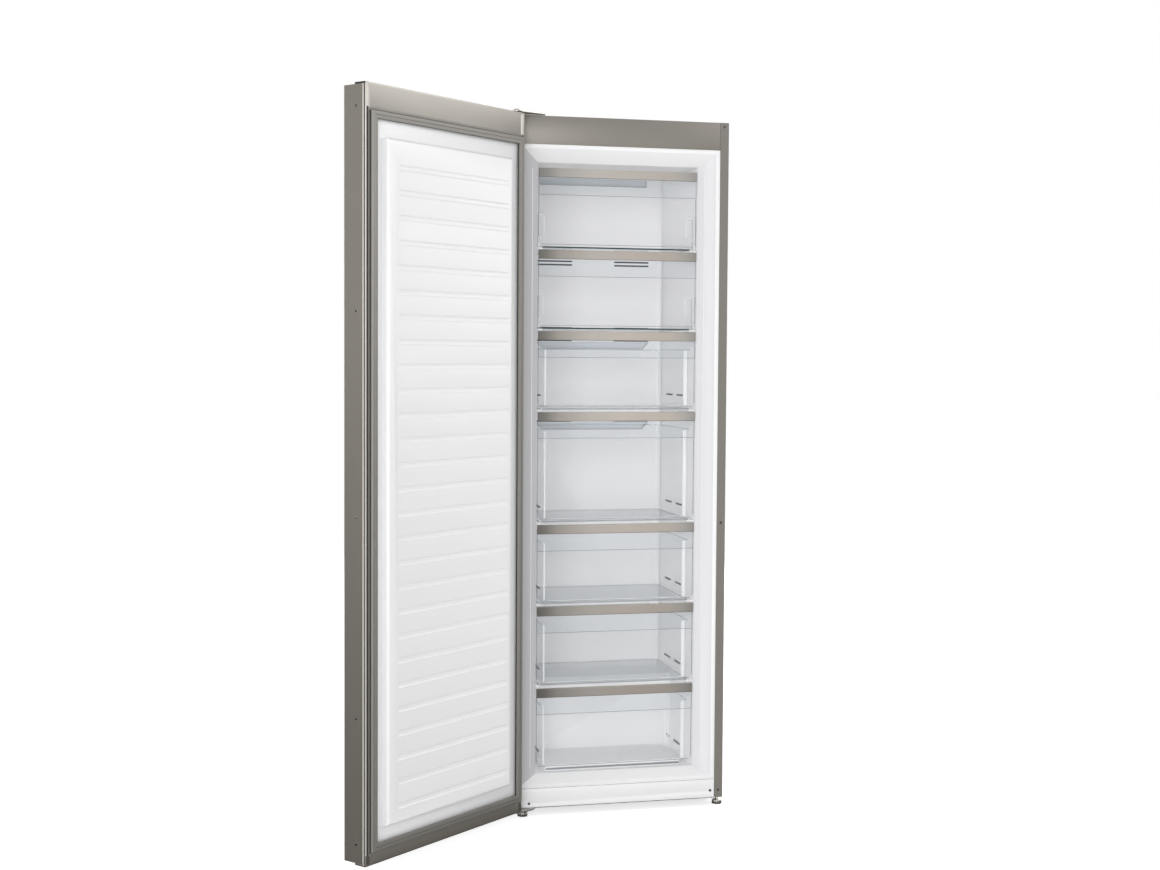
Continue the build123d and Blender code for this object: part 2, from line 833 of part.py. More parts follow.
def control_box():
    """The box that holds the power electronics, beside the compressor."""
    length, width, height = control_box_size
    floor = body_bottom + machine_sheet
    left = -half_width + control_box_inset
    xs = (left, left + length)
    front = machine_front + control_box_setback
    ys = (front, front + width)
    box = fillet(block(xs, ys, (floor, floor + height)).edges().filter_by(Axis.Z), 6)
    lid = (floor + height - lid_drop, floor + height - lid_drop + lid_groove)
    return box - (block((xs[0] - 1, xs[1] + 1), (ys[0] - 1, ys[1] + 1), lid) - inset_block(xs, ys, lid, 1.5))


def inset_block(xs, ys, zs, inset):
    """A box drawn in from its plan limits."""
    return block((xs[0] + inset, xs[1] - inset), (ys[0] + inset, ys[1] - inset), zs)


def cord_gland():
    """The collar where the mains lead enters the control box."""
    x = -half_width + control_box_inset + control_box_size[0] / 2
    y = machine_front + control_box_setback + control_box_size[1]
    z = body_bottom + machine_sheet + control_box_size[2] / 2
    collar = rod((x, y, z), gland_radius, gland_length, (0, 1, 0))
    return collar - rod((x, y, z), gland_bore, gland_length + 1, (0, 1, 0))


# ---- Feet and rollers ----


def front_foot(spot, stem_top):
    """A screw foot with a lobed disc."""
    x, y = spot
    disc = rod((x, y, 0), foot_radius, foot_disc)
    for index in range(foot_lobes):
        angle = radians(360 * index / foot_lobes)
        lobe = (x + foot_radius * cos(angle), y + foot_radius * sin(angle), -1)
        disc -= rod(lobe, lobe_radius, foot_disc + 2)
    neck = extrude(Pos(x, y, foot_disc) * RegularPolygon(foot_stem_radius + 2.5, 6), foot_neck)
    return disc + neck + rod((x, y, foot_disc), foot_stem_radius, stem_top - foot_disc)


def roller_brackets():
    """The two forks with their axles under the machine room's tray."""
    forks = []
    for side in (-1, 1):
        middle = side * roller_x
        inner = roller_width / 2 + roller_side_gap
        outer = inner + roller_cheek
        depth = (roller_y - 10, roller_y + 10)
        fork = rod((middle - outer, roller_y, roller_radius), roller_axle_radius, 2 * outer, (1, 0, 0))
        for hand in (-1, 1):
            cheek = (middle + hand * inner, middle + hand * outer)
            fork += block(cheek, depth, (roller_radius - 6, body_bottom))
        forks.append(fork)
    return joined(forks)


def roller(side):
    """One rear roller."""
    start = (side * roller_x - roller_width / 2, roller_y, roller_radius)
    wheel = rod(start, roller_radius, roller_width, (1, 0, 0))
    return wheel - rod(start, roller_axle_radius + shaft_clearance, roller_width, (1, 0, 0))


# ---- Hinges on the cabinet ----


def top_hinge():
    """The upper hinge plate on its pad, with the pin that the door turns on."""
    pad_top = body_top + hinge_pad
    plate_top = pad_top + hinge_plate
    right = -half_width + hinge_plate_reach
    left = -half_width + 2
    pad = block((left, right), (4, hinge_plate_back), (body_top, pad_top))
    points = [
        (pin_x - 12, pin_y + 4),
        (pin_x + 12, pin_y - 4),
        (right, 0),
        (right, hinge_plate_back),
        (left, hinge_plate_back),
        (left, 0),
    ]
    plate = prism(points, pad_top, plate_top)
    plate += rod((pin_x, pin_y, pad_top), 13, hinge_plate)
    pin_bottom = door_top - bush_length + 2
    pin = rod((pin_x, pin_y, pin_bottom), pin_radius, plate_top - pin_bottom)
    head = rod((pin_x, pin_y, plate_top), pin_head_radius, pin_head_height)
    return pad + plate + pin + head


def bottom_hinge():
    """The lower bracket with its pin and the nut of the left foot."""
    low = body_bottom - bottom_bracket
    x, y = left_foot
    points = [
        (pin_x - 10, pin_y),
        (pin_x - 6, pin_y - 9),
        (pin_x + 8, pin_y - 9),
        (x + 22, -14),
        (x + 32, 0),
        (x + 32, bottom_bracket_back),
        (pin_x - 8, bottom_bracket_back),
        (pin_x - 8, 8),
    ]
    plate = prism(points, low, body_bottom)
    plate += rod((pin_x, pin_y, body_bottom), bush_radius, washer_height)
    plate += rod((pin_x, pin_y, low), pin_radius, door_bottom + bush_length - 2 - low)
    return plate - rod((x, y, low - 1), foot_stem_radius + stem_clearance, bottom_bracket + 2)


# ---- Flaps and drawers ----


def front_panel(top, bottom):
    """A clear front whose upper band stands proud of the rest."""
    half = front_width / 2
    back = front_plane + band_step + front_wall
    lower = block((-half, half), (front_plane + band_step, back), (bottom, top - trim_lip))
    lower = fillet(
        [edge for edge in lower.edges().filter_by(Axis.Y) if edge.center().Z < bottom + 1],
        front_wall * 3,
    )
    band = block((-half, half), (front_plane, back), (top - band_height, top - trim_lip))
    return lower + band


def front_trim(top):
    """The metal strip along the top of a front, with a lip over its edge."""
    half = front_width / 2
    back = front_plane + band_step + front_wall
    front = front_plane - trim_thickness
    strip = block((-half, half), (front, front_plane), (top - trim_height, top))
    strip += block((-half, half), (front, back), (top - trim_lip, top))
    edges = [edge for edge in strip.edges().filter_by(Axis.X) if abs(edge.center().Y - front) < 0.01]
    return fillet(edges, 1.2)


def flap_panel(index):
    """One drop-down flap with the lugs and pins that it turns on."""
    bottom = rest_levels[index] + front_lift
    pivot = bottom + flap_pivot_rise
    back = front_plane + band_step + front_wall
    panel = front_panel(front_levels[index], bottom)
    half = front_width / 2
    for side in (-1, 1):
        notch = (side * (half - flap_notch), side * (half + 1))
        panel -= block(notch, (front_plane, back), (bottom - 1, pivot + 8))
        inner = side * (half - lug_inset - lug_width)
        outer = side * (half - lug_inset)
        lug = block((inner, outer), (back, flap_pivot_depth), (pivot - 5, pivot + 5))
        lug += rod((inner, flap_pivot_depth, pivot), 5, lug_width, (side, 0, 0))
        pin_start = (inner, flap_pivot_depth, pivot)
        lug += rod(pin_start, flap_pin_radius, lug_width + bracket_thickness + 0.5, (side, 0, 0))
        panel += lug
    return panel


def flap_brackets():
    """The four clear brackets on the liner that carry the flaps."""
    brackets = []
    for index in range(flap_count):
        pivot = rest_levels[index] + front_lift + flap_pivot_rise
        low = rest_levels[index] - glass_thickness
        high = rest_levels[index] + bracket_height
        depth = (flap_pivot_depth - 6, flap_pivot_depth - 6 + bracket_depth)
        for side in (-1, 1):
            inner = side * (front_width / 2 - lug_inset + 0.3)
            outer = inner + side * bracket_thickness
            plate = block((inner, outer), depth, (low, high))
            wing_depth = (flap_pivot_depth + wing_setback, flap_pivot_depth + wing_setback + 2)
            wing = (inner, inner - side * wing_width)
            plate += block(wing, wing_depth, (pivot + wing_setback, high))
            hole = flap_pin_radius + running_clearance
            start = (inner - side, flap_pivot_depth, pivot)
            brackets.append(plate - rod(start, hole, bracket_thickness + 2, (side, 0, 0)))
    return joined(brackets)


def drawer_tub(index):
    """One clear drawer: its front, its tub and the slots low in its sides."""
    rest = rest_levels[index] + slide_clearance
    top = front_levels[index] - tub_drop
    is_lowest = index == len(rest_levels) - 1
    back = short_tub_back if is_lowest else tub_back
    front = front_plane + band_step
    half = tub_width / 2
    outer = block((-half, half), (front, back), (rest, top))
    outer = fillet(upright_edges(outer, half, back) + upright_edges(outer, -half, back), tub_corner)
    base = [edge for edge in outer.edges() if edge.bounding_box().max.Z < rest + 0.01]
    base = [edge for edge in base if edge.bounding_box().max.Y > front + 1]
    outer = fillet(base, tub_foot_radius)
    inner_half = half - tub_wall
    inner_front = front + front_wall
    inner = block((-inner_half, inner_half), (inner_front, back - tub_wall), (rest + tub_wall, top + 1))
    rear_corners = upright_edges(inner, inner_half, back - tub_wall)
    rear_corners += upright_edges(inner, -inner_half, back - tub_wall)
    inner = fillet(rear_corners, tub_corner - tub_wall)
    drawer = front_panel(front_levels[index], rest_levels[index] + front_lift) + (outer - inner)
    rim_half = half + tub_rim
    rim_back = back + tub_rim
    lip = block((-rim_half, rim_half), (front, rim_back), (top - 2, top))
    rim = lip - block((-inner_half, inner_half), (front - 1, back - tub_wall), (top - 3, top + 1))
    rim_corners = upright_edges(rim, rim_half, rim_back) + upright_edges(rim, -rim_half, rim_back)
    drawer += fillet(rim_corners, tub_corner)
    for start in slot_starts:
        end = min(start + slot_length, back - tub_corner)
        if end - start > slot_height:
            low = rest + slot_level
            drawer -= block((-half - 1, half + 1), (start, end), (low, low + slot_height))
    return drawer


# ---- Door, drawn shut ----


def skin_core(inset, low, high, back):
    """The door's outer form with rounded front corners, drawn in by an inset."""
    reach = half_width - inset
    front = outer_face + inset
    core = block((-reach, reach), (front, back), (low, high))
    corners = upright_edges(core, reach, front) + upright_edges(core, -reach, front)
    return fillet(corners, skin_corner - inset)


def door_skin():
    """The steel front of the door with its sides turned back and in."""
    skin = skin_core(0, skin_bottom, skin_top, skin_back)
    skin -= skin_core(sheet, skin_bottom, skin_top, skin_back + 1)
    for side in (-1, 1):
        lip = (side * (half_width - sheet), side * (half_width - edge_trim_width / 2))
        skin += block(lip, (skin_back - sheet, skin_back), (skin_bottom, skin_top))
    return skin - side_screw_set() - bush_space()


def door_edge_trims():
    """The two corner profiles down the sides of the door's inner face."""
    trims = []
    notch_wide, notch_deep = edge_notch
    for side in (-1, 1):
        outer = side * half_width
        width = (outer, outer - side * edge_trim_width)
        trim = block(width, (skin_back, inner_face), (skin_bottom, skin_top))
        notch = (inner_face - notch_deep, inner_face - notch_wide)
        trim -= block((outer, outer - side * notch_wide), notch, (skin_bottom - 1, skin_top + 1))
        trims.append(trim)
    return joined(trims) - bush_space()


def bush_space():
    """The bites that the hinge bushes take out of the parts beside them."""
    length = bush_length + slide_clearance
    radius = bush_radius + slide_clearance
    low = rod((pin_x, pin_y, door_bottom), radius, length)
    return low + rod((pin_x, pin_y, door_top - length), radius, length)


def hinge_boss(low, high):
    """The block inside a cap that holds a hinge bush."""
    reach = bush_radius + boss_wall
    left = -half_width + sheet
    return block((left, pin_x + reach), (pin_y - reach, inner_face - door_liner_wall), (low, high))


def door_cap(is_top):
    """A moulded end of the door: plate, raised ridge, inner strip and hinge boss."""
    hand = 1 if is_top else -1
    end = door_top if is_top else door_bottom
    level = end - hand * cap_step
    strip = strip_high if is_top else strip_low
    reach = half_width - edge_trim_width
    plate_low, plate_high = sorted((level, level - hand * cap_wall))
    cap = skin_core(sheet, plate_low, plate_high, skin_back)
    cap += block((-reach, reach), (skin_back, inner_face), (level, level - hand * cap_wall))
    ridge_depth = (inner_face - cap_ridge_depth, inner_face)
    cap += block((-half_width, half_width), ridge_depth, (level, end))
    cap += block((-reach, reach), (inner_face - cap_wall, inner_face), (strip, end))
    cap += hinge_boss(min(end, end - hand * bush_length), max(end, end - hand * bush_length))
    for side in (-1, 1):
        outer = side * half_width
        trim_space = (outer, outer - side * edge_trim_width)
        trim_low, trim_high = sorted((level, end - hand * (bush_length + 1)))
        cap -= block(trim_space, (skin_back - sheet, inner_face), (trim_low, trim_high))
    bore_low = min(end + hand, end - hand * (bush_length + 1))
    cap -= rod((pin_x, pin_y, bore_low), bush_radius, bush_length + 2)
    return cap


def door_hinge_bushes():
    """The bushes in the caps that the hinge pins run in."""
    bushes = []
    for low in (door_bottom, door_top - bush_length):
        bush = rod((pin_x, pin_y, low), bush_radius, bush_length)
        bushes.append(bush - rod((pin_x, pin_y, low - 1), pin_radius + pin_clearance, bush_length + 2))
    return joined(bushes)


def plug_form(inset, front_drop):
    """The raised middle of the inner panel, drawn in by an inset."""
    xs = (-half_width + plug_hinge_inset + inset, half_width - plug_free_inset - inset)
    zs = (plug_bottom + inset, plug_top - inset)
    top = inner_face + plug_height - front_drop
    form = block(xs, (inner_face - door_liner_wall - 1, top), zs)
    rims = [edge for edge in form.edges() if edge.bounding_box().min.Y > top - 0.01]
    return fillet(rims, plug_radius - inset)


def groove_cutter(level):
    """A shallow horizontal groove with slanted walls across the raised panel."""
    top = inner_face + plug_height
    bottom = top - groove_depth
    left = -half_width + plug_hinge_inset + groove_hinge_inset
    right = half_width - plug_free_inset - groove_free_inset
    mid = level - groove_height / 2
    plane = Plane(origin=((left + right) / 2, top, mid), x_dir=(1, 0, 0), z_dir=(0, 1, 0))
    floor_plane = Plane(origin=((left + right) / 2, bottom, mid), x_dir=(1, 0, 0), z_dir=(0, 1, 0))
    mouth = plane * Rectangle(right - left, groove_height)
    floor = floor_plane * Rectangle(right - left - groove_height, groove_height - 2 * groove_depth)
    return loft([floor, mouth], ruled=True)


def door_inner_liner():
    """The white inner panel of the door with its grooves."""
    reach = half_width - edge_trim_width
    panel = block((-reach, reach), (inner_face - door_liner_wall, inner_face), (strip_low, strip_high))
    panel += plug_form(0, 0)
    panel -= plug_form(2 * door_liner_wall, 2 * door_liner_wall)
    behind = (inner_face - 2 * door_liner_wall - 2, inner_face - door_liner_wall)
    panel -= block((-reach, reach), behind, (0, body_top))
    for index in range(groove_count):
        panel -= groove_cutter(plug_bottom + groove_margin + index * groove_pitch)
    return panel


def door_foam():
    """The foam inside the door."""
    low = skin_bottom + cap_wall
    high = skin_top - cap_wall
    foam = skin_core(sheet, low, high, skin_back - sheet)
    reach = half_width - edge_trim_width
    back = inner_face - door_liner_wall
    foam += block((-reach, reach), (skin_back - sheet, back), (low, high))
    core = plug_form(2 * door_liner_wall, 2 * door_liner_wall)
    foam += core
    for piece in (door_cap(True), door_cap(False), side_screw_set()):
        foam -= piece
    return foam - bush_space()


def gasket_ring(inset, low_y, high_y):
    """One layer of the gasket all round the door."""
    out_x = half_width - gasket_inset - inset
    in_x = half_width - gasket_inset - gasket_width + inset
    out_z = (strip_low + inset, strip_high - inset)
    in_z = (strip_low + gasket_width - inset, strip_high - gasket_width + inset)
    ring = block((-out_x, out_x), (low_y, high_y), out_z)
    return ring - block((-in_x, in_x), (low_y - 1, high_y + 1), in_z)


def door_gasket():
    """The soft seal: a base, a narrow neck and a rounded head."""
    neck_y = inner_face + gasket_base
    head_y = neck_y + gasket_neck
    face_y = inner_face + gasket_height
    head = gasket_ring(0, head_y, face_y)
    rims = [edge for edge in head.edges() if edge.bounding_box().min.Y > face_y - 0.01]
    head = fillet(rims, gasket_radius)
    return gasket_ring(0, inner_face, neck_y) + gasket_ring(gasket_neck_inset, neck_y, head_y) + head


def side_screw(level):
    """A screw in the free side of the door."""
    y = inner_face - side_screw_setback
    head = rod((half_width, y, level), side_screw_radius, side_screw_proud, (1, 0, 0))
    start = (half_width - side_screw_length, y, level)
    return head + rod(start, side_screw_shank, side_screw_length, (1, 0, 0))


def side_screw_set():
    """All the screws down the free side of the door."""
    return joined(side_screw(level) for level in side_screw_levels)


def door_handle():
    """The upright bar on the door's outer face, on two posts."""
    x = half_width - handle_inset
    y = outer_face - handle_standoff
    low = handle_centre - handle_length / 2
    bar = rod((x, y, low), handle_radius, handle_length)
    bar = fillet(bar.edges().filter_by(GeomType.CIRCLE), 2)
    for z in (handle_centre - post_spread / 2, handle_centre + post_spread / 2):
        bar += rod((x, outer_face, z), post_radius, handle_standoff, (0, -1, 0))
    return bar


def display_window():
    """The dark glass of the touch display on the door's outer face."""
    width, thick, height = display_size
    depth = (outer_face - thick, outer_face)
    glass = block((-width / 2, width / 2), depth, (display_level - height / 2, display_level + height / 2))
    return fillet(glass.edges().filter_by(Axis.Y), 4)


def swung_open(piece):
    """A door piece turned from shut to the open resting place."""
    return piece.rotate(Axis((pin_x, pin_y, 0), (0, 0, 1)), -open_angle)


# ---- All nodes ----

fixed_nodes = {
    "side_panel_left": lambda: side_panel(-1),
    "side_panel_right": lambda: side_panel(1),
    "top_panel": top_panel,
    "back_panel": back_panel,
    "bottom_panel": bottom_panel,
    "top_fascia": top_fascia,
    "plinth": plinth,
    "cabinet_screws": cabinet_screws,
    "insulation_foam": insulation_foam,
    "inner_liner": inner_liner,
    "glass_shelves": glass_shelves,
    "evaporator_cover": evaporator_cover,
    "air_duct": air_duct,
    "evaporator": evaporator,
    "fan_housing": fan_housing,
    "fan_motor": fan_motor,
    "fan_blades": fan_blades,
    "condenser_coil": condenser_coil,
    "machine_room_wall": machine_room_wall,
    "machine_base": machine_base,
    "compressor": compressor,
    "compressor_grommets": compressor_grommets,
    "drip_tray": drip_tray,
    "refrigerant_pipes": refrigerant_pipes,
    "control_box": control_box,
    "cord_gland": cord_gland,
    "front_foot_left": lambda: front_foot(left_foot, body_bottom - 0.2),
    "front_foot_right": lambda: front_foot(right_foot, body_bottom + foot_nut_height),
    "roller_brackets": roller_brackets,
    "roller_left": lambda: roller(-1),
    "roller_right": lambda: roller(1),
    "top_hinge": top_hinge,
    "bottom_hinge": bottom_hinge,
    "flap_brackets": flap_brackets,
}

door_nodes = {
    "door_skin": door_skin,
    "door_edge_trims": door_edge_trims,
    "door_top_cap": lambda: door_cap(True),
    "door_bottom_cap": lambda: door_cap(False),
    "door_hinge_bushes": door_hinge_bushes,
    "door_inner_liner": door_inner_liner,
    "door_foam": door_foam,
    "door_gasket": door_gasket,
    "door_side_screws": side_screw_set,
    "door_handle": door_handle,
    "display_window": display_window,
}


def save(node, shape):
    """Write one node's file."""
    export_step(shape, os.path.join("parts", node + ".step"))


def main():
    os.makedirs("parts", exist_ok=True)
    for node, make in fixed_nodes.items():
        save(node, make())
    for node, make in door_nodes.items():
        save(node, swung_open(make()))
    for index, top in enumerate(front_levels):
        number = str(index + 1)
        if index < flap_count:
            save("flap_panel_" + number, flap_panel(index))
            save("flap_trim_" + number, front_trim(top))
        else:
            save("drawer_tub_" + number, drawer_tub(index))
            save("drawer_trim_" + number, front_trim(top))


main()
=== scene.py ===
"""Finishes, small forms, light and camera for the upright freezer.

Everything is in metres in the CAD's frame: +Z is up, the front faces -Y, and the origin is on the
floor, midway across the cabinet, in the plane of its front edge. Pieces of the door are made as if
it were shut, and are then swung open to where the door's nodes stand.
"""

import json
from math import cos, pi, radians, sin

import bmesh
import bpy
from mathutils import Matrix, Vector


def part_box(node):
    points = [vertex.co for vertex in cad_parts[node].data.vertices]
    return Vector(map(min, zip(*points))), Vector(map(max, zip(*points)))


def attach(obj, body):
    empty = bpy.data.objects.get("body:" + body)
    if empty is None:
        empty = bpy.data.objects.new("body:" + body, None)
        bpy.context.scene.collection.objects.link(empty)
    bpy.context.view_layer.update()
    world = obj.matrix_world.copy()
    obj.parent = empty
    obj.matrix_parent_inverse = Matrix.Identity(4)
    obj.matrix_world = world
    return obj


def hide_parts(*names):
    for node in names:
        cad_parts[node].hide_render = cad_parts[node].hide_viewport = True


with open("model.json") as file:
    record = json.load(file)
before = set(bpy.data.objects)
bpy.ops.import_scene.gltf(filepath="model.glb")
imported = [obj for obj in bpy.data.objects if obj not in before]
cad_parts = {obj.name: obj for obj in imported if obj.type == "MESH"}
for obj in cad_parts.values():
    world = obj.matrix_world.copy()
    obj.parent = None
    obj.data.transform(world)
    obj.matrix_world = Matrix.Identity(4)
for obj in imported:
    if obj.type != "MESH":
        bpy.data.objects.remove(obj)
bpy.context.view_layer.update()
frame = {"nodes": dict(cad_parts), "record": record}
nodes = frame["nodes"]
behaviour = frame["record"]["behaviour"]
slot_of = {part["node"]: part["material_slot"] for part in frame["record"]["subparts"]}
body_of = {node: body for body, held in behaviour["bodies"].items() for node in held}
front_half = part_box("drawer_trim_3")[1].x  # half the width of a clear front

# ---- Shader building ----


def shade(code):
    """A colour written as on screen, turned into the shader's linear numbers."""
    parts = [int(code[i : i + 2], 16) / 255 for i in (0, 2, 4)]
    return tuple(p / 12.92 if p <= 0.04045 else ((p + 0.055) / 1.055) ** 2.4 for p in parts)


class Signal:
    """A shader socket that can be used in sums."""

    def __init__(self, finish, socket):
        self.finish = finish
        self.socket = socket

    def __add__(self, other):
        return self.finish.maths("ADD", self, other)

    def __mul__(self, other):
        return self.finish.maths("MULTIPLY", self, other)

    def __sub__(self, other):
        return self.finish.maths("SUBTRACT", self, other)


class Finish:
    """A material, or the world, while its nodes are being laid out."""

    def __init__(self, owner):
        self.owner = owner
        owner.use_nodes = True
        self.tree = owner.node_tree
        self.tree.nodes.clear()

    def node(self, kind, settings=None, inputs=None, output=0):
        """Adds a node, sets it up, feeds its sockets and gives back one output."""
        made = self.tree.nodes.new("ShaderNode" + kind)
        for key, value in (settings or {}).items():
            if key == "stops":
                ramp = made.color_ramp.elements
                while len(ramp) < len(value):
                    ramp.new(1.0)
                for stop, (place, colour) in zip(ramp, value):
                    stop.position = place
                    stop.color = (*colour, 1)
            else:
                setattr(made, key, value)
        for key, value in (inputs or {}).items():
            socket = made.inputs[key]
            if isinstance(value, Signal):
                self.tree.links.new(value.socket, socket)
            elif socket.type == "RGBA":
                socket.default_value = (*value, 1)
            else:
                socket.default_value = value
        return Signal(self, made.outputs[output])

    def maths(self, operation, first, second):
        """One arithmetic step on two sockets or numbers."""
        return self.node("Math", {"operation": operation}, {0: first, 1: second})

    def ray(self, kind):
        """One where the ray being traced is of a kind, and zero elsewhere."""
        return self.node("LightPath", output="Is " + kind + " Ray")

    def seen_straight(self):
        """One for rays from the camera, also those that have gone through clear sheet."""
        return self.maths("MAXIMUM", self.ray("Camera"), self.ray("Transmission"))

    def place(self):
        """The point on the piece, in metres."""
        return self.node("TexCoord", output="Object")

    def along(self, axis, start, end):
        """How far a point lies from start to end along an axis, as a share."""
        place = self.node("SeparateXYZ", inputs={0: self.place()}, output="XYZ".index(axis))
        return (place - start) * (1 / (end - start))

    def grain(self, per_metre, detail=2.0, rough=0.5):
        """Noise with its own number of features per metre along each axis."""
        point = self.node("VectorMath", {"operation": "MULTIPLY"}, {0: self.place(), 1: per_metre})
        settings = {"Vector": point, "Scale": 1.0, "Detail": detail, "Roughness": rough}
        return self.node("TexNoise", inputs=settings)

    def mix(self, share, low, high):
        """A colour between two colours."""
        return self.node("Mix", {"data_type": "RGBA"}, {0: share, 6: low, 7: high}, output=2)

    def bump(self, height, depth):
        """A normal from a height between 0 and 1 that stands for a depth in metres."""
        return self.node("Bump", inputs={"Height": height, "Distance": depth, "Strength": 1.0})

    def surface(self, **inputs):
        """The surface's main shader, with socket names written with underscores."""
        named = {key.replace("_", " "): value for key, value in inputs.items()}
        return self.node("BsdfPrincipled", inputs=named)

    def done(self, shader, kind="Material"):
        """Feeds the output with a shader, and gives back the finished material or world."""
        output = self.tree.nodes.new("ShaderNodeOutput" + kind)
        self.tree.links.new(shader.socket, output.inputs[0])
        return self.owner


def new_finish(name):
    """An empty material that is ready to be laid out."""
    return Finish(bpy.data.materials.new(name))


# ---- Finishes ----

white = (1, 1, 1)
stroke_depth = 0.00002  # how deep the strokes of brushed metal are


def brushed(name, code, per_metre, rough, contrast, metal=1.0):
    """Metal with long fine strokes along the axis whose count is lowest."""
    finish = new_finish(name)
    colour = shade(code)
    strokes = finish.grain(per_metre, 3.0, 0.7)
    cloud = finish.grain((5.0, 5.0, 3.0), 2.0)
    dark = tuple(c * (1 - contrast) for c in colour)
    light = tuple(min(1.0, c * (1 + contrast)) for c in colour)
    return finish.done(
        finish.surface(
            Base_Color=finish.mix(strokes * 0.7 + cloud * 0.3, dark, light),
            Metallic=metal,
            Roughness=strokes * 0.16 + (rough - 0.08),
            Normal=finish.bump(strokes, stroke_depth),
        )
    )


def moulded(name, code, rough, grain_size=900.0, depth=0.00004, tint=0.03, metal=0.0):
    """Moulded plastic or smooth paint with a fine skin and slow drifts of tone."""
    finish = new_finish(name)
    colour = shade(code)
    skin = finish.grain((grain_size,) * 3, 2.0)
    drift = finish.grain((3.0, 3.0, 2.0), 2.0)
    low = tuple(c * (1 - tint) for c in colour)
    return finish.done(
        finish.surface(
            Base_Color=finish.mix(drift, low, colour),
            Metallic=metal,
            Roughness=drift * 0.1 + skin * 0.06 + (rough - 0.08),
            Normal=finish.bump(skin, depth),
        )
    )


def white_sheet(name, code, rough=0.3):
    """The smooth sheet that the linings are drawn from."""
    return moulded(name, code, rough, 500.0, 0.00002, 0.02)


def white_with_painted_hinge_shade(name, outer, inner):
    """White sheet with painted shade that grows greyer towards the hinges, between two places across the
    cabinet.
    """
    finish = new_finish(name)
    stops = [(0.0, shade("8E8E90")), (0.35, shade("B6B6B8")), (0.9, shade("E6E6E8"))]
    tone = finish.node("ValToRGB", {"stops": stops}, {"Fac": finish.along("X", outer, inner)})
    return finish.done(finish.surface(Base_Color=tone, Roughness=0.32))


def trim_metal(name, painted_glare=0.0):
    """Fine satin metal with a painted reflection: its tone drifts along the strip, as a long reflection
    does.
    """
    finish = new_finish(name)
    stops = [
        (0.0, shade("5D5B57")),
        (0.05, shade("6F6C68")),
        (0.13, shade("9A958E")),
        (0.33, shade("B5AFA8")),
        (0.55, shade("B9B0A7")),
        (0.84, shade("B0A79E")),
        (0.93, shade("A19D98")),
        (1.0, shade("8B8883")),
    ]
    along = finish.along("X", -front_half, front_half)
    tone = finish.node("ValToRGB", {"stops": stops}, {"Fac": along})
    strokes = finish.grain((12.0, 1500.0, 1500.0), 3.0, 0.7)
    drift = finish.grain((9.0, 9.0, 2.0), 2.0)
    streaked = finish.mix(strokes * 0.2 + drift * 0.15, tone, shade("8E8982"))
    return finish.done(
        finish.surface(
            Base_Color=finish.mix(painted_glare, streaked, white),
            Metallic=0.5,
            Roughness=strokes * 0.14 + 0.26,
            Normal=finish.bump(strokes, stroke_depth),
        )
    )


def clear(name, code, tint, cover, edge_cover, rough=0.05):
    """Clear sheet: see-through face on, with more body and gloss at a glancing angle."""
    finish = new_finish(name)
    tone = shade(code)
    rim = finish.node("LayerWeight", inputs={"Blend": 0.3}, output="Facing")
    streaks = finish.grain((14.0, 14.0, 5.0), 2.0)
    body = finish.surface(
        Base_Color=finish.mix(streaks, tuple(c * 0.94 for c in tone), tone),
        Roughness=streaks * 0.05 + rough,
    )
    glass = finish.node("BsdfTransparent", inputs={"Color": tint})
    share = rim * (edge_cover - cover) + cover
    return finish.done(finish.node("MixShader", inputs={0: share, 1: glass, 2: body}))


finishes = {
    "cabinet_paint": brushed("grey_steel_upright", "87837C", (1400.0, 1400.0, 9.0), 0.42, 0.07, 0.4),
    "galvanised_steel": brushed("galvanised_sheet", "A0A3A5", (40.0, 40.0, 40.0), 0.56, 0.16),
    "white_plastic": white_sheet("white_liner", "F3F3F4"),
    "grey_plastic": moulded("silver_profile", "B2AEA7", 0.48, 900.0, 0.00003, 0.05, 0.9),
    "dark_plastic": moulded("dark_plastic", "232425", 0.5, 700.0, 0.00008, 0.2),
    "rigid_foam": moulded("rigid_foam", "EFE6CF", 0.9, 300.0, 0.0004, 0.1),
    "shelf_glass": clear("shelf_glass", "C4CCD0", (0.97, 0.98, 0.985), 0.05, 0.4),
    "fin_aluminium": brushed("fin_aluminium", "D8DADB", (60.0, 60.0, 60.0), 0.35, 0.06),
    "pipe_steel": moulded("black_pipe", "1B1B1C", 0.4),
    "pipe_copper": brushed("copper_tube", "C58F6B", (300.0, 300.0, 300.0), 0.32, 0.15),
    "compressor_paint": moulded("black_gloss_paint", "141516", 0.22, 200.0, 0.0001, 0.2),
    "black_rubber": moulded("black_rubber", "1E1E1F", 0.75, 900.0, 0.0001, 0.15),
    "hinge_steel": brushed("plated_steel", "B5B3AE", (90.0, 90.0, 90.0), 0.34, 0.1),
    "clear_plastic": clear("clear_plastic", "EEF0F2", (0.99, 0.992, 0.994), 0.03, 0.26),
    "door_steel": brushed("door_steel_upright", "86827A", (1600.0, 1600.0, 8.0), 0.42, 0.09, 0.75),
    "gasket_rubber": moulded("grey_seal", "8A8781", 0.5, 800.0, 0.00006, 0.05, 0.35),
    "trim_aluminium": trim_metal("trim_metal"),
    "display_glass": moulded("dark_glass", "0A0B0D", 0.12, 100.0, 0.0, 0.1),
}

# white and pale parts, and painted shade on the liner's lips, its hinge flange, the pans and their outlines
# painted shade: both upright lips are greyed for the light that falls on them, the left one more
right_lip_painted_shade = white_sheet("right_lip_painted_shade", "DDDDE0")
lip_shade = white_sheet("lip_shade", "C3C3C6")
# painted shade: the flange by the hinges greys towards them, as in the door's shadow
hinge_painted_shade = white_with_painted_hinge_shade("hinge_painted_shade", -0.275, -0.225)
# painted shade: the sunk pans, and the dark lines round them and along the raised floor
pan_shade = white_sheet("pan_shade", "DADEE2")
painted_shade_line = white_sheet("painted_shade_line", "8E9398", 0.35)
mark_white = moulded("mark_white", "C9D3DA", 0.4, 400.0, 0.00001, 0.03)

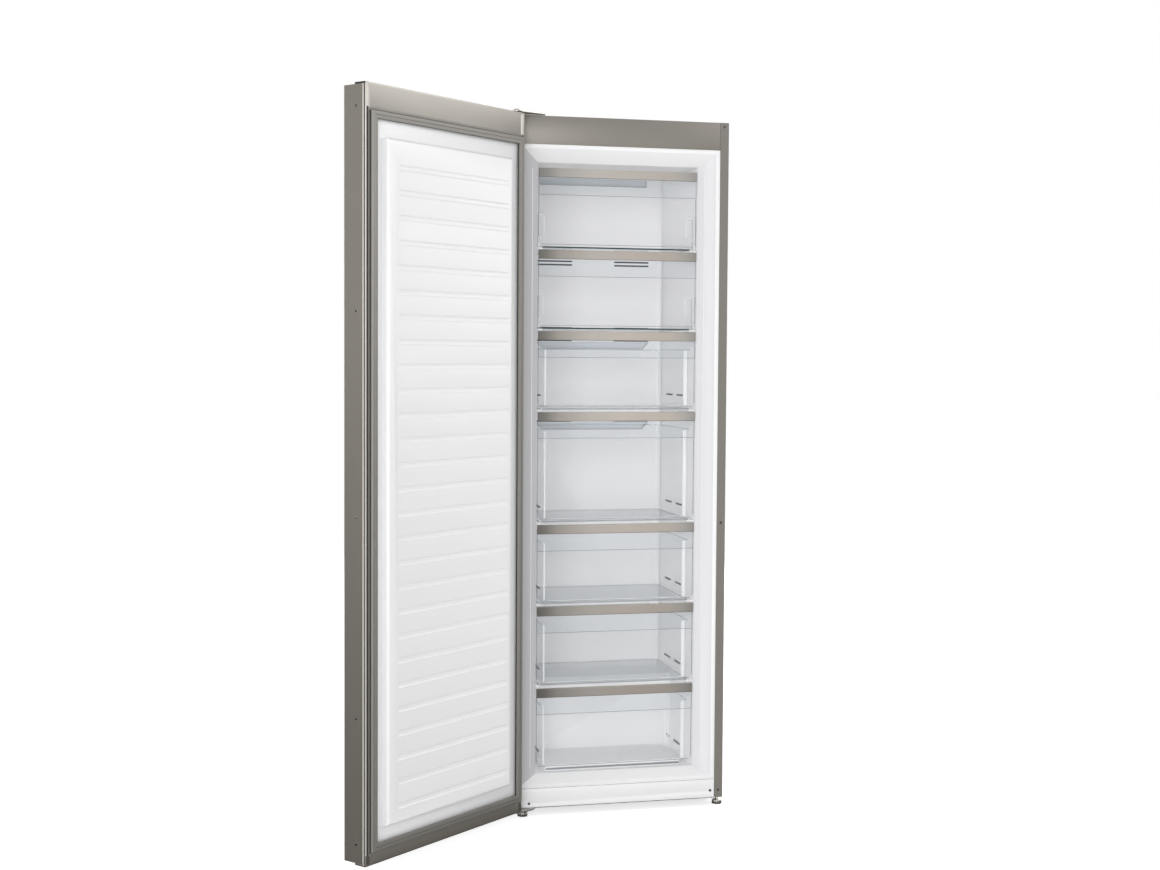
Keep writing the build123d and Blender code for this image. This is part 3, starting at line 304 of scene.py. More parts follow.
# clear parts
clear_edge = clear("clear_edge", "7C858A", (0.9, 0.93, 0.95), 0.5, 0.75, 0.1)
clear_band = clear("clear_band", "C3CCD3", (0.955, 0.97, 0.98), 0.1, 0.4)
# painted shade: grey lines along the edges and creases of clear sheet
clear_painted_shade_line = clear("clear_painted_shade_line", "9DA2A6", (0.8, 0.82, 0.84), 0.55, 0.8, 0.15)
# painted highlight: bright bars on the edges of clear parts where light catches them
clear_painted_highlight = clear("clear_painted_highlight", "F7F8F9", (0.95, 0.96, 0.97), 0.7, 0.85, 0.1)
glass_edge = moulded("glass_edge", "2F4745", 0.2, 300.0, 0.00002, 0.25)

# metal
# painted glare: the trim metal lifted towards white, for the top flap's trim
trim_painted_glare = trim_metal("trim_painted_glare", 0.09)
edge_silver = moulded("edge_silver", "CFCCC6", 0.36, 900.0, 0.00002, 0.04, 0.25)
handle_steel = brushed("handle_steel", "BCB9B4", (900.0, 900.0, 12.0), 0.31, 0.08)
screw_steel = brushed("screw_steel", "86837E", (500.0, 500.0, 500.0), 0.26, 0.2)
# painted shade: the right side panel's steel, darker and duller than the left's, against the lamps' glare
right_steel_in_painted_shade = brushed("right_side_painted_shade_steel", "7D7972", (1400.0, 1400.0, 9.0), 0.58, 0.07, 0.1)

# painted shade in gaps, grooves, recesses and slots, dark seams, and the foam duct painted dark as shade
# edge_dark is painted shade in the cover's slots and along the trims, and the dark of the seams
edge_dark = moulded("edge_dark", "4B4844", 0.45, 900.0, 0.00002, 0.1)
slot_shadow = moulded("slot_shadow", "4A4F52", 0.5, 700.0, 0.00002)
recess_shadow = moulded("recess_shadow", "1D1C1B", 0.6, 900.0, 0.00002, 0.2)
duct_foam_in_painted_shade = moulded("duct_foam_painted_shade", "34373A", 0.85, 260.0, 0.0003, 0.15)


def repaint(node, look):
    """Gives the solid of a node a finish."""
    piece = nodes[node]
    for spot in piece.material_slots:
        spot.material = look
    if not piece.material_slots:
        piece.data.materials.append(look)


for node, slot in slot_of.items():
    repaint(node, finishes[slot])
# the duct behind the cover's slots is painted dark as the shade seen through them
repaint("air_duct", duct_foam_in_painted_shade)
# the top flap's trim takes the copy with painted glare
repaint("flap_trim_1", trim_painted_glare)
repaint("side_panel_right", right_steel_in_painted_shade)

# ---- Forms and pieces ----

sharp_turn = radians(35)  # edges that turn more are rounded
crease_turn = radians(36)  # and edges that turn more are shaded as creases
curve_turns = (radians(1), radians(15))  # between the faces of a curve
strip_width = 0.003  # a narrower face belongs to a rounded edge


def copied(node):
    """A node's mesh as a form with its doubled points merged and its flat faces whole."""
    form = bmesh.new()
    form.from_mesh(nodes[node].data)
    bmesh.ops.remove_doubles(form, verts=form.verts[:], dist=1e-5)
    bmesh.ops.dissolve_limit(form, angle_limit=radians(0.6), verts=form.verts[:], edges=form.edges[:])
    return form


def soften(form, width):
    """Rounds the sharp edges of a form."""
    sharp = [e for e in form.edges if len(e.link_faces) == 2 and e.calc_face_angle() > sharp_turn]
    bmesh.ops.bevel(
        form,
        geom=sharp,
        offset=width,
        offset_type="OFFSET",
        segments=2,
        profile=0.5,
        affect="EDGES",
        clamp_overlap=True,
        material=-1,
    )


def extent(points):
    """The lowest and the highest corner of some points of a form."""
    spans = [[point.co[i] for point in points] for i in range(3)]
    return Vector([min(span) for span in spans]), Vector([max(span) for span in spans])


def solid_boxes(form):
    """The lowest and the highest corner of each separate solid of a form, which isn't kept."""
    boxes, seen = [], set()
    for start in form.verts:
        if start in seen:
            continue
        seen.add(start)
        group = [start]
        for point in group:
            near = [edge.other_vert(point) for edge in point.link_edges]
            group += [other for other in near if other not in seen]
            seen.update(near)
        boxes.append(extent(group))
    form.free()
    return boxes


def add_form(form, part):
    """Adds a form to another. The added one isn't kept."""
    mesh = bpy.data.meshes.new("part")
    part.to_mesh(mesh)
    part.free()
    form.from_mesh(mesh)
    bpy.data.meshes.remove(mesh)


def cut_along(form, spot, across):
    """Cuts the faces of a form along the plane through a spot, so that each side has its own."""
    every = form.verts[:] + form.edges[:] + form.faces[:]
    bmesh.ops.bisect_plane(form, geom=every, dist=1e-6, plane_co=spot, plane_no=across)


def is_curved(face):
    """Whether a face belongs to a curve or a rounded edge, rather than to a flat side."""
    width = face.calc_area() / max(edge.calc_length() for edge in face.edges)
    turns = [edge.calc_face_angle() for edge in face.edges if len(edge.link_faces) == 2]
    return width < strip_width or any(curve_turns[0] < turn < curve_turns[1] for turn in turns)


def dress(name, form, surfaces, body):
    """Makes a new piece of a form, on a body, with the finishes it is given."""
    bmesh.ops.recalc_face_normals(form, faces=form.faces[:])
    for face in form.faces:
        face.smooth = is_curved(face)
    mesh = bpy.data.meshes.new(name)
    form.to_mesh(mesh)
    form.free()
    mesh.set_sharp_from_angle(angle=crease_turn)
    for surface in surfaces:
        mesh.materials.append(surface)
    piece = bpy.data.objects.new(name, mesh)
    bpy.context.scene.collection.objects.link(piece)
    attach(piece, body)
    return piece


def dress_node(name, form, surfaces, node):
    """Makes a piece of a form in place of a node, on the node's body, and hides the node."""
    piece = dress(name, form, surfaces, body_of[node])
    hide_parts(node)
    return piece


# ---- Nodes whose own form is kept, with rounded edges ----

edge_roundings = {
    "door_inner_liner": 0.0011,
    "door_bottom_cap": 0.0007,
    "top_hinge": 0.0006,
    "bottom_hinge": 0.0006,
    "front_foot_left": 0.0008,
    "front_foot_right": 0.0008,
    "control_box": 0.001,
    "drip_tray": 0.0007,
    "machine_base": 0.0004,
    "plinth": 0.0003,
    "top_fascia": 0.0003,
}
# painted shade: the lower cap takes the darker door steel, for the dark floor it mirrors
caps_in_painted_shade = {"door_bottom_cap": "door_steel"}
for node, width in edge_roundings.items():
    form = copied(node)
    soften(form, width)
    look = caps_in_painted_shade.get(node, slot_of[node])
    dress_node(node + "_soft", form, [finishes[look]], node)


def inner_liner():
    """The lining, with painted shade on the upright lips round its mouth and on the flange by the hinges, a
    little darker than its walls.
    """
    wall, right_lip, shaded_hinge_flange, left_lip = range(4)
    mouth_half, mouth_depth, flange_depth = 0.235, 0.05, 0.02
    form = copied("inner_liner")
    for face in form.faces:
        centre = face.calc_center_median()
        is_slanted = abs(face.normal.x) > 0.3 and face.normal.y < -0.3
        look = wall
        if is_slanted and centre.y < mouth_depth:
            look = left_lip if centre.x < 0 else right_lip
        elif face.normal.y < -0.9 and centre.x < -mouth_half and centre.y < flange_depth:
            # the flange by the hinges takes painted shade
            look = shaded_hinge_flange
        face.material_index = look
    soften(form, 0.0012)
    surfaces = [finishes["white_plastic"], right_lip_painted_shade, hinge_painted_shade, lip_shade]
    dress_node("inner_liner_soft", form, surfaces, "inner_liner")


inner_liner()

# ---- Clear pieces with darker edges ----

rim_limit = 0.0052  # a flat face narrower than this is a sheet's cut edge
band_limit = 0.001  # the raised band is no further than this behind the foremost face
slot_zone = (0.03, 0.02)  # tub slots lie further than this from its front and back
slot_ceiling = 0.05  # and lower than this over its floor


def is_rim(face):
    """Whether a flat face square to an axis is as narrow as the cut edge of a sheet."""
    if max(abs(v) for v in face.normal) < 0.999:
        return False
    low, high = extent(face.verts)
    return sorted(high - low)[1] < rim_limit


def let_light_through(piece):
    """Clear sheet throws no shadow of its own in soft light."""
    piece.visible_shadow = False
    piece.visible_diffuse = False


def clear_piece(node):
    """A clear node with its rims, its upper band and its slots told apart."""
    body, rim, band, slot = range(4)
    form = copied(node)
    low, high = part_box(node)
    for face in form.faces:
        centre = face.calc_center_median()
        is_inside = low.y + slot_zone[0] < centre.y < high.y - slot_zone[1]
        look = body
        if is_rim(face):
            is_slot = "drawer" in node and is_inside and centre.z < low.z + slot_ceiling
            look = slot if is_slot else rim
        elif face.normal.y < -0.9 and centre.y < low.y + band_limit:
            look = band
        face.material_index = look
    surfaces = [finishes["clear_plastic"], clear_edge, clear_band, slot_shadow]
    let_light_through(dress_node(node + "_clear", form, surfaces, node))


def glass_shelves():
    """The panes, whose ground edges are bare in front only above the drawers; their other edges take painted
    shade lines.
    """
    bare_shelf_level = 1.2
    pane, bare_edge, edge = range(3)
    form = copied("glass_shelves")
    for face in form.faces:
        is_bare = face.normal.y < -0.9 and face.calc_center_median().z > bare_shelf_level
        face.material_index = (bare_edge if is_bare else edge) if is_rim(face) else pane
    surfaces = [finishes["shelf_glass"], glass_edge, clear_painted_shade_line]
    let_light_through(dress_node("glass_shelf_panes", form, surfaces, "glass_shelves"))


for node, slot in slot_of.items():
    if slot == "clear_plastic":
        clear_piece(node)
glass_shelves()

# ---- Helpers for small forms ----


def bars(*spans, rounding):
    """A form of blocks with rounded edges, each between two opposite corners."""
    form = bmesh.new()
    for low, high in spans:
        middle = [(a + b) / 2 for a, b in zip(low, high)]
        size = [b - a for a, b in zip(low, high)]
        shape = Matrix.Translation(middle) @ Matrix.Diagonal((*size, 1))
        bmesh.ops.create_cube(form, size=1, matrix=shape)
    soften(form, rounding)
    return form


def both_sides(low, high):
    """A block on the right and its twin on the left."""
    return (low, high), ((-high[0], low[1], low[2]), (-low[0], high[1], high[2]))


def turned(form, profile, start, axis, steps):
    """Adds a lathe form from radii at distances along an axis."""
    start, axis = Vector(start), Vector(axis)
    side = axis.orthogonal().normalized()
    points = [form.verts.new(start + axis * along + side * radius) for along, radius in profile]
    lines = [form.edges.new(pair) for pair in zip(points, points[1:])]
    bmesh.ops.spin(
        form, geom=points + lines, cent=start, axis=axis, angle=2 * pi, steps=steps, use_merge=True
    )
    bmesh.ops.remove_doubles(form, verts=form.verts[:], dist=1e-6)


def screw_head(radius, height):
    """A domed head standing round Z, with a cross recess that has the second finish, painted shade."""
    head = bmesh.new()
    bmesh.ops.create_circle(head, cap_ends=True, segments=28, radius=radius)
    arm, half = radius * 0.6, radius * 0.16
    for across in (Vector((1, 0, 0)), Vector((0, 1, 0))):
        for place in (-arm, -half, half, arm):
            cut_along(head, across * place, across)
    recess = []
    for face in head.faces:
        long, short = sorted((abs(v) for v in face.calc_center_median()[:2]), reverse=True)
        if long < arm and short < half:
            recess.append(face)
    for vert in head.verts:
        vert.co.z = height * (1 - 0.6 * (vert.co.length / radius) ** 2)
    made = bmesh.ops.extrude_face_region(head, geom=recess)["geom"]
    sunk = [v for v in made if isinstance(v, bmesh.types.BMVert)]
    bmesh.ops.translate(head, verts=sunk, vec=(0, 0, -height * 0.8))
    for vert in sunk:
        for face in vert.link_faces:
            face.material_index = 1
    rim = [e for e in head.edges if e.is_boundary and e.verts[0].co.xy.length > radius * 0.9]
    skirt = bmesh.ops.extrude_edge_only(head, edges=rim)["geom"]
    for vert in skirt:
        if isinstance(vert, bmesh.types.BMVert):
            vert.co.z = 0
    return head


def screw(form, spot, axis, radius, height, length):
    """Adds a screw whose head stands on a surface at a spot, and whose shank goes into it."""
    head = screw_head(radius, height)
    turn = Vector(axis).to_track_quat("Z", "Y").to_matrix().to_4x4()
    head.transform(Matrix.Translation(spot) @ turn)
    add_form(form, head)
    shank = radius * 0.5
    profile = [(0.0, radius * 0.9), (0.0, shank), (-length * 0.8, shank), (-length, 0.0)]
    turned(form, profile, spot, axis, 16)


# the second finish paints shade into the screws' recesses
screw_surfaces = [screw_steel, recess_shadow]

# ---- Door ----

door_joint = next(joint for joint in behaviour["joints"] if joint["name"] == "door_swing")
hinge_pin = Vector(door_joint["pos_m"])
open_turn = Matrix.Rotation(radians(door_joint["range_deg"][0]), 4, "Z")
swing = Matrix.Translation(hinge_pin) @ open_turn @ Matrix.Translation(-hinge_pin)


def as_if_shut(node):
    """A door node's form, turned back to where it is with the door shut."""
    form = copied(node)
    form.transform(swing.inverted())
    form.normal_update()
    return form


def shut_box(node):
    """The lowest and the highest corner of a door node with the door shut."""
    form = as_if_shut(node)
    box = extent(form.verts)
    form.free()
    return box


top_cap_low, top_cap_high = shut_box("door_top_cap")
half_width, inner_face, strip_high = top_cap_high.x, top_cap_high.y, top_cap_low.z
strip_low = shut_box("door_bottom_cap")[1].z

# each point of the seal's section: inset from the door's side, height over its inner face, and
# the look of the band that ends there; the dark looks are painted shade in its gaps and grooves
plain, dark, shadowed_at_sides, shadowed_at_top = range(4)
seal_section = [
    (0.005, 0.0, plain),
    (0.005, 0.003, dark),
    (0.0068, 0.003, shadowed_at_sides),
    (0.0074, 0.0034, plain),
    (0.0098, 0.0034, plain),
    (0.0102, 0.0018, shadowed_at_sides),
    (0.012, 0.0018, shadowed_at_sides),
    (0.0126, 0.0034, plain),
    (0.013, 0.005, dark),
    (0.0126, 0.0062, dark),
    (0.0128, 0.0105, plain),
    (0.0138, 0.0118, plain),
    (0.0155, 0.0122, plain),
    (0.0215, 0.0122, plain),
    (0.022, 0.0116, dark),
    (0.0225, 0.0122, plain),
    (0.0285, 0.0122, plain),
    (0.0302, 0.0116, plain),
    (0.031, 0.0102, plain),
    (0.0312, 0.0066, shadowed_at_top),
    (0.0304, 0.0054, plain),
    (0.0275, 0.0046, dark),
    (0.0275, 0.0, dark),
]
seal_inset = seal_section[0][0]


def seal_corner(form, side, is_top):
    """The seal's section at one corner of the door."""
    points = []
    for inset, height, _ in seal_section:
        level = strip_high + seal_inset - inset if is_top else strip_low - seal_inset + inset
        points.append(form.verts.new((side * (half_width - inset), inner_face + height, level)))
    return [form.edges.new((points[i - 1], points[i])) for i in range(len(points))]


def band_middle(index):
    """The middle of the band that ends at a point of the seal's section."""
    return (Vector(seal_section[index - 1][:2]) + Vector(seal_section[index][:2])) / 2


def is_shadowed_band(centre):
    """Whether the seal's band that a point lies on is one in painted shade."""
    from_side = half_width - abs(centre.x)
    from_top = strip_high + seal_inset - centre.z
    from_foot = centre.z - strip_low + seal_inset
    inset = min(from_side, from_top, from_foot)
    place = Vector((inset, centre.y - inner_face))
    nearest = min(range(len(seal_section)), key=lambda index: (band_middle(index) - place).length)
    look = seal_section[nearest][2]
    if look == shadowed_at_sides:
        return inset == from_side
    if look == shadowed_at_top:
        return inset == from_top
    return look == dark


def door_seal():
    """The seal round the door, with its grooves and its hollow lip, and painted shade in its gaps and
    grooves.
    """
    form = bmesh.new()
    corners = [seal_corner(form, *corner) for corner in ((1, False), (1, True), (-1, True), (-1, False))]
    for index in range(4):
        bmesh.ops.bridge_loops(form, edges=corners[index - 1] + corners[index])
    for face in form.faces:
        face.material_index = int(is_shadowed_band(face.calc_center_median()))
    form.transform(swing)
    dress_node("door_seal", form, [finishes["gasket_rubber"], recess_shadow], "door_gasket")


def door_edge_profiles():
    """The profiles up the door's sides: steel, then a groove in painted shade, then a light line."""
    steel, silver, groove, grey = range(4)
    light_line, groove_low, groove_high = -0.0216, -0.0178, -0.0138
    side_zone = half_width - 0.0075
    form = as_if_shut("door_edge_trims")
    for depth in (light_line, groove_low):
        cut_along(form, (0, depth, 0), (0, 1, 0))
    for level in (strip_low, strip_high):
        cut_along(form, (0, 0, level), (0, 0, 1))
    for face in form.faces:
        centre = face.calc_center_median()
        faces_cabinet = face.normal.y > 0.9
        at_side = abs(centre.x) > side_zone and abs(face.normal.z) < 0.1
        look = steel
        if at_side and groove_low < centre.y < groove_high:
            look = groove
        elif faces_cabinet and centre.z < strip_low:
            look = steel
        elif faces_cabinet and centre.z > strip_high:
            look = grey
        elif centre.y > light_line:
            look = silver
        face.material_index = look
    soften(form, 0.0002)
    form.transform(swing)
    surfaces = [finishes["door_steel"], edge_silver, recess_shadow, finishes["grey_plastic"]]
    dress_node("door_edge_profiles", form, surfaces, "door_edge_trims")


def door_top_cap():
    """The cap, whose raised ridge carries painted shade on its side faces at both ends."""
    ridge_foot = top_cap_high.z - 0.0047
    form = as_if_shut("door_top_cap")
    for face in form.faces:
        if abs(face.normal.x) > 0.9 and face.calc_center_median().z > ridge_foot:
            face.material_index = 1
    soften(form, 0.0003)
    form.transform(swing)
    dress_node("door_top_cap_soft", form, [finishes["grey_plastic"], recess_shadow], "door_top_cap")


def door_handle():
    """A bar with rounded ends and a fine groove at each of them, on two waisted posts."""
    bar_radius, post_inset = 0.008, 0.04
    low, high = shut_box("door_handle")
    bar_x, bar_y = (low.x + high.x) / 2, low.y + bar_radius
    length = high.z - low.z
    bar_end = [(0.0, 0.0), (0.0, 0.0062), (0.0007, 0.0074), (0.0018, bar_radius), (0.0085, bar_radius)]
    bar_end += [(0.0089, 0.0076), (0.0093, 0.0076), (0.0097, bar_radius)]
    bar_profile = bar_end + [(length - along, radius) for along, radius in reversed(bar_end)]
    post_foot = [(0.0, 0.0), (0.0, 0.0112), (0.0018, 0.0112), (0.0028, 0.0104), (0.0034, 0.0072)]
    post_waist = [(0.006, 0.0062), (0.02, 0.0054), (0.032, 0.0056), (0.0385, 0.0064)]
    post_profile = post_foot + post_waist + [(0.041, 0.0064), (high.y - bar_y, 0.0)]
    form = bmesh.new()
    turned(form, bar_profile, (bar_x, bar_y, low.z), (0, 0, 1), 40)
    for level in (low.z + post_inset, high.z - post_inset):
        turned(form, post_profile, (bar_x, high.y, level), (0, -1, 0), 32)
    form.transform(swing)
    dress_node("door_handle_bar", form, [handle_steel], "door_handle")


def display():
    """Dark glass in a raised rim, with plain touch marks."""
    pane_limit = 0.0001  # square metres, less than the glass's face and more than its edges
    form = as_if_shut("display_window")
    soften(form, 0.0004)
    form.normal_update()
    pane = [face for face in form.faces if face.normal.y < -0.9 and face.calc_area() > pane_limit]
    bmesh.ops.inset_region(form, faces=pane, thickness=0.0011, depth=-0.0005)
    form.transform(swing)
    dress_node("display_pane", form, [finishes["display_glass"]], "display_window")

    low, high = shut_box("display_window")
    middle, glass_face = (low.z + high.z) / 2, low.y + 0.0006
    dot_profile = [(0.0, 0.0), (0.0, 0.0017), (0.0002, 0.0015), (0.0002, 0.0)]
    dot_level, stroke_low, stroke_high = middle - 0.008, middle + 0.005, middle + 0.0064
    marks = bmesh.new()
    for x in (-0.042, -0.024, 0.024, 0.042):
        turned(marks, dot_profile, (x, glass_face, dot_level), (0, -1, 0), 16)
    for x in (-0.033, 0.033):
        corner = (x - 0.0035, glass_face - 0.0002, stroke_low)
        add_form(marks, bars((corner, (x + 0.0035, glass_face, stroke_high)), rounding=0.0001))
    marks.transform(swing)
    dress("display_marks", marks, [mark_white], body_of["display_window"])


def door_screws():
    """The screws up the free side of the door, put in where the open door stands."""
    axis = open_turn @ Vector((1, 0, 0))
    form = bmesh.new()
    for low, high in solid_boxes(as_if_shut("door_side_screws")):
        middle = (low + high) / 2
        spot = swing @ Vector((half_width, middle.y, middle.z))
        screw(form, spot, axis, 0.0035, 0.0007, 0.012)
    dress_node("door_screws", form, screw_surfaces, "door_side_screws")


door_seal()
door_edge_profiles()
door_top_cap()
door_handle()
display()
door_screws()

# ---- Screws and bolts of the cabinet ----


def cabinet_screws():
    """Screws in the front's edges and flatter ones on the upper hinge."""
    form = bmesh.new()
    for low, high in solid_boxes(copied("cabinet_screws")):
        middle = (low + high) / 2
        if low.y < 0:
            screw(form, (middle.x, 0, middle.z), (0, -1, 0), 0.0038, 0.0009, 0.01)
        else:
            screw(form, (middle.x, middle.y, low.z), (0, 0, 1), 0.005, 0.003, 0.0065)
    dress_node("cabinet_screw_set", form, screw_surfaces, "cabinet_screws")


def back_screws():
    """Screws down both sides of the back sheet and along its ends."""
    low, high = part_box("back_panel")
    column_x, column_foot, column_pitch = high.x - 0.0065, low.z + 0.028, 0.38
    columns = [(side * column_x, column_foot + step * column_pitch) for side in (-1, 1) for step in range(5)]
    rows = [(x, z) for x in (-0.14, 0, 0.14) for z in (low.z + 0.013, high.z - 0.01)]
    form = bmesh.new()
    for x, z in columns + rows:
        screw(form, (x, high.y, z), (0, 1, 0), 0.0035, 0.0008, 0.009)
    dress("back_screws", form, screw_surfaces, "cabinet")


def compressor_bolts():
    """A washer and a bolt over each rubber foot of the compressor's plate."""
    plate_thickness = 0.003
    washer = [(0.0, 0.0), (0.0, 0.008), (0.0014, 0.008), (0.0016, 0.0056), (0.0016, 0.0)]
    head = [(0.0016, 0.0), (0.0016, 0.0052), (0.0052, 0.0052), (0.006, 0.0042), (0.006, 0.0)]
    form = bmesh.new()
    for low, high in solid_boxes(copied("compressor_grommets")):
        spot = ((low.x + high.x) / 2, (low.y + high.y) / 2, high.z + plate_thickness)
        turned(form, washer, spot, (0, 0, 1), 28)
        turned(form, head, spot, (0, 0, 1), 6)
    dress("compressor_bolts", form, [screw_steel], "cabinet")


cabinet_screws()
back_screws()
compressor_bolts()

# ---- Beads, painted highlights and painted shade of the cavity ----


def mouth_beads():
    """A bead down each side of the mouth, where its lips end."""
    beads = both_sides((0.2352, 0.0164, 0.125), (0.2368, 0.018, 1.715))
    form = bars(*beads, rounding=0.0005)
    dress("mouth_beads", form, [finishes["white_plastic"]], "cabinet")


def bracket_painted_highlights(number, bracket_low, bracket_high):
    """Painted highlights along the rims of the pair of clear brackets that carries a flap."""
    inner, outer = bracket_low.x, bracket_high.x
    front, wing = bracket_low.y, bracket_low.y + 0.0195
    foot, top = bracket_low.z, bracket_high.z
    front_rim = (outer - 0.0037, front - 0.0004, foot + 0.001), (outer - 0.0023, front + 0.0008, top - 0.001)
    wing_rim = (inner - 0.0003, wing + 0.0003, foot + 0.036), (inner + 0.001, wing + 0.0013, top - 0.002)
    top_rim = (inner + 0.0004, wing, top - 0.0014), (outer - 0.0032, wing + 0.0011, top - 0.0002)
    rims = [*both_sides(*front_rim), *both_sides(*wing_rim), *both_sides(*top_rim)]
    form = bars(*rims, rounding=0.0002)
    name = "bracket_rims_%d" % number
    let_light_through(dress(name, form, [clear_painted_highlight], "cabinet"))


cover_front = 0.36  # the flat face of the evaporator's cover
pan_centre = 0.012  # the outlets lie a little right of the middle


def evaporator_cover():
    """The cover, with painted shade on its sunk pans and darker painted shade in their slots."""
    pan_floor, slot_floor = 0.0025, 0.012  # how far behind the flat face the faces of each end
    cover_half, first_pan_level = 0.2, 0.99
    form = copied("evaporator_cover")
    for face in form.faces:
        centre = face.calc_center_median()
        depth = centre.y - cover_front
        if 0.0002 < depth < pan_floor and abs(centre.x) < cover_half:
            face.material_index = 2
        elif pan_floor < depth < slot_floor and centre.z > first_pan_level:
            face.material_index = 1
    soften(form, 0.0005)
    surfaces = [finishes["white_plastic"], pan_shade, edge_dark]
    dress_node("evaporator_cover_pans", form, surfaces, "evaporator_cover")


def pan_shade_outline(number, top, height, reach, slant):
    """A thin line of painted shade round the sides and the foot of a sunk pan."""
    line_width, line_depth = 0.0011, 0.0008
    corners = [(-reach, top), (slant - reach, top - height), (reach - slant, top - height), (reach, top)]
    outline = [Vector((pan_centre + x, cover_front - 0.0002, z)) for x, z in corners]
    form = bmesh.new()
    for start, end in zip(outline, outline[1:]):
        run = end - start
        turn = run.to_track_quat("X", "Z").to_matrix().to_4x4()
        size = Matrix.Diagonal((run.length + 0.001, line_depth, line_width, 1))
        shape = Matrix.Translation((start + end) / 2) @ turn @ size
        bmesh.ops.create_cube(form, size=1, matrix=shape)
    soften(form, 0.0002)
    dress("pan_rim_%d" % number, form, [painted_shade_line], "cabinet")


mouth_beads()
brackets = [box for box in solid_boxes(copied("flap_brackets")) if box[0].x > 0]
for index, (low, high) in enumerate(sorted(brackets, key=lambda box: -box[0].z)):
    bracket_painted_highlights(index + 1, low, high)
evaporator_cover()
pan_shade_outline(1, 1.729, 0.019, 0.156, 0.0)
pan_shade_outline(2, 1.2644, 0.0195, 0.165, 0.018)
pan_shade_outline(3, 1.0334, 0.0195, 0.165, 0.018)

# ---- Painted shade lines, painted highlights and slot shadows of the clear fronts ----

flap_lift, tub_lift = 0.004, 0.0003  # from what a flap or a tub rests on to its lowest point
foot_lift = 0.0043  # and to the lower edge of a front
band_height = 0.07  # the upper part of a front, which stands proud
band_step = 0.0025


def front_lines(number, holder, trim, rest, foot_gap):
    """Thin lines of painted shade down the sides of a clear front, along its crease and along its foot."""
    side = front_half - 0.0014
    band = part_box(holder)[0].y
    plane = band + band_step
    trim_low, trim_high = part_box(trim)
    crease, foot = trim_high.z - band_height, rest + foot_lift
    foot_half = front_half - 0.0075
    lines = [
        *both_sides((side, band - 0.0003, crease), (front_half, band + 0.0006, trim_low.z)),
        ((-front_half, band - 0.0004, crease - 0.0002), (front_half, band + 0.0004, crease + 0.001)),
        *both_sides((side, plane - 0.0004, foot + foot_gap), (front_half, plane + 0.0005, crease)),
        ((-foot_half, plane - 0.0004, foot), (foot_half, plane + 0.0005, foot + 0.0012)),
    ]
    form = bars(*lines, rounding=0.0002)
    dress("front_lines_%d" % number, form, [clear_painted_shade_line], body_of[holder])


def tub_painted_highlights(number, tub, top, rest):
    """Painted highlights in the corners behind a drawer's front and along its floor."""
    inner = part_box(tub)[0].y + band_step + 0.003
    floor = rest + 0.0032
    beads = [
        ((0.187, inner, floor + 0.004), (0.1966, inner + 0.0012, top - 0.05)),
        ((-0.1975, inner, floor + 0.004), (-0.1935, inner + 0.0012, top - 0.05)),
        ((-0.187, inner, floor + 0.0002), (0.187, inner + 0.0035, floor + 0.0034)),
    ]
    form = bars(*beads, rounding=0.0005)
    name = "tub_beads_%d" % number
    let_light_through(dress(name, form, [clear_painted_highlight], body_of[tub]))


def tub_slot_shades(number, tub, rest):
    """The dark inside of the slots along both sides of a tub."""
    slot_starts, slot_length, slot_height = (0.083, 0.183), 0.054, 0.005
    wall_inner, wall_outer = 0.1982, 0.1988
    level = rest + 0.0313
    tub_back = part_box(tub)[1].y
    shades = []
    for start in slot_starts:
        end = start + slot_length
        if end < tub_back:
            shades += both_sides((wall_inner, start, level), (wall_outer, end, level + slot_height))
    form = bars(*shades, rounding=0.0001)
    name = "tub_slot_shades_%d" % number
    let_light_through(dress(name, form, [slot_shadow], body_of[tub]))


for number in (1, 2):
    flap, trim = "flap_panel_%d" % number, "flap_trim_%d" % number
    front_lines(number, flap, trim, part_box(flap)[0].z - flap_lift, 0.02)
for number in (3, 4, 5, 6, 7):
    tub, trim = "drawer_tub_%d" % number, "drawer_trim_%d" % number
    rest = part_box(tub)[0].z - tub_lift
    front_lines(number, tub, trim, rest, 0.009)
    tub_painted_highlights(number, tub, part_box(trim)[1].z, rest)
    tub_slot_shades(number, tub, rest)

# ---- Thin dark lines of painted shade, and dark seams ----


def trim_lines(trim):
    """Dark lines of painted shade along the foot and at the ends of a metal strip."""
    low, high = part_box(trim)
    front, back = low.y - 0.00015, low.y + 0.001
    foot_top = low.z + 0.0008
    lines = [((low.x, front, low.z - 0.0001), (high.x, back, foot_top))]
    for x in (low.x, high.x - 0.0005):
        lines.append(((x, front, foot_top), (x + 0.0005, back, high.z)))
    form = bars(*lines, rounding=0.00015)
    dress(trim + "_lines", form, [edge_dark], body_of[trim])


def dark_seams_and_shadow_lines(name, *spans):
    """Dark seams and lines of painted shadow on the cabinet's front, as one piece."""
    dress(name, bars(*spans, rounding=0.0001), [edge_dark], "cabinet")


for node, slot in slot_of.items():
    if slot == "trim_aluminium" and node != "door_handle":
        trim_lines(node)

low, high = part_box("plinth")
seam_half, seam_top = high.x - 0.0005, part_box("inner_liner")[0].z
dark_seams_and_shadow_lines("plinth_seam", ((-seam_half, 0.0003, high.z), (seam_half, 0.004, seam_top)))
# painted shadow: a dark line along the plinth's foot, where it meets the floor
foot_start, foot_end = (low.x, low.y - 0.0002, low.z - 0.0009), (high.x, low.y + 0.003, low.z + 0.0007)
dark_seams_and_shadow_lines("plinth_painted_shadow_line", (foot_start, foot_end))
low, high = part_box("top_fascia")
front, back = low.y - 0.0001, low.y + 0.002
ends = [((x - 0.0004, front, low.z), (x + 0.0005, back, high.z)) for x in (low.x, high.x)]
dark_seams_and_shadow_lines("fascia_seams", *ends)
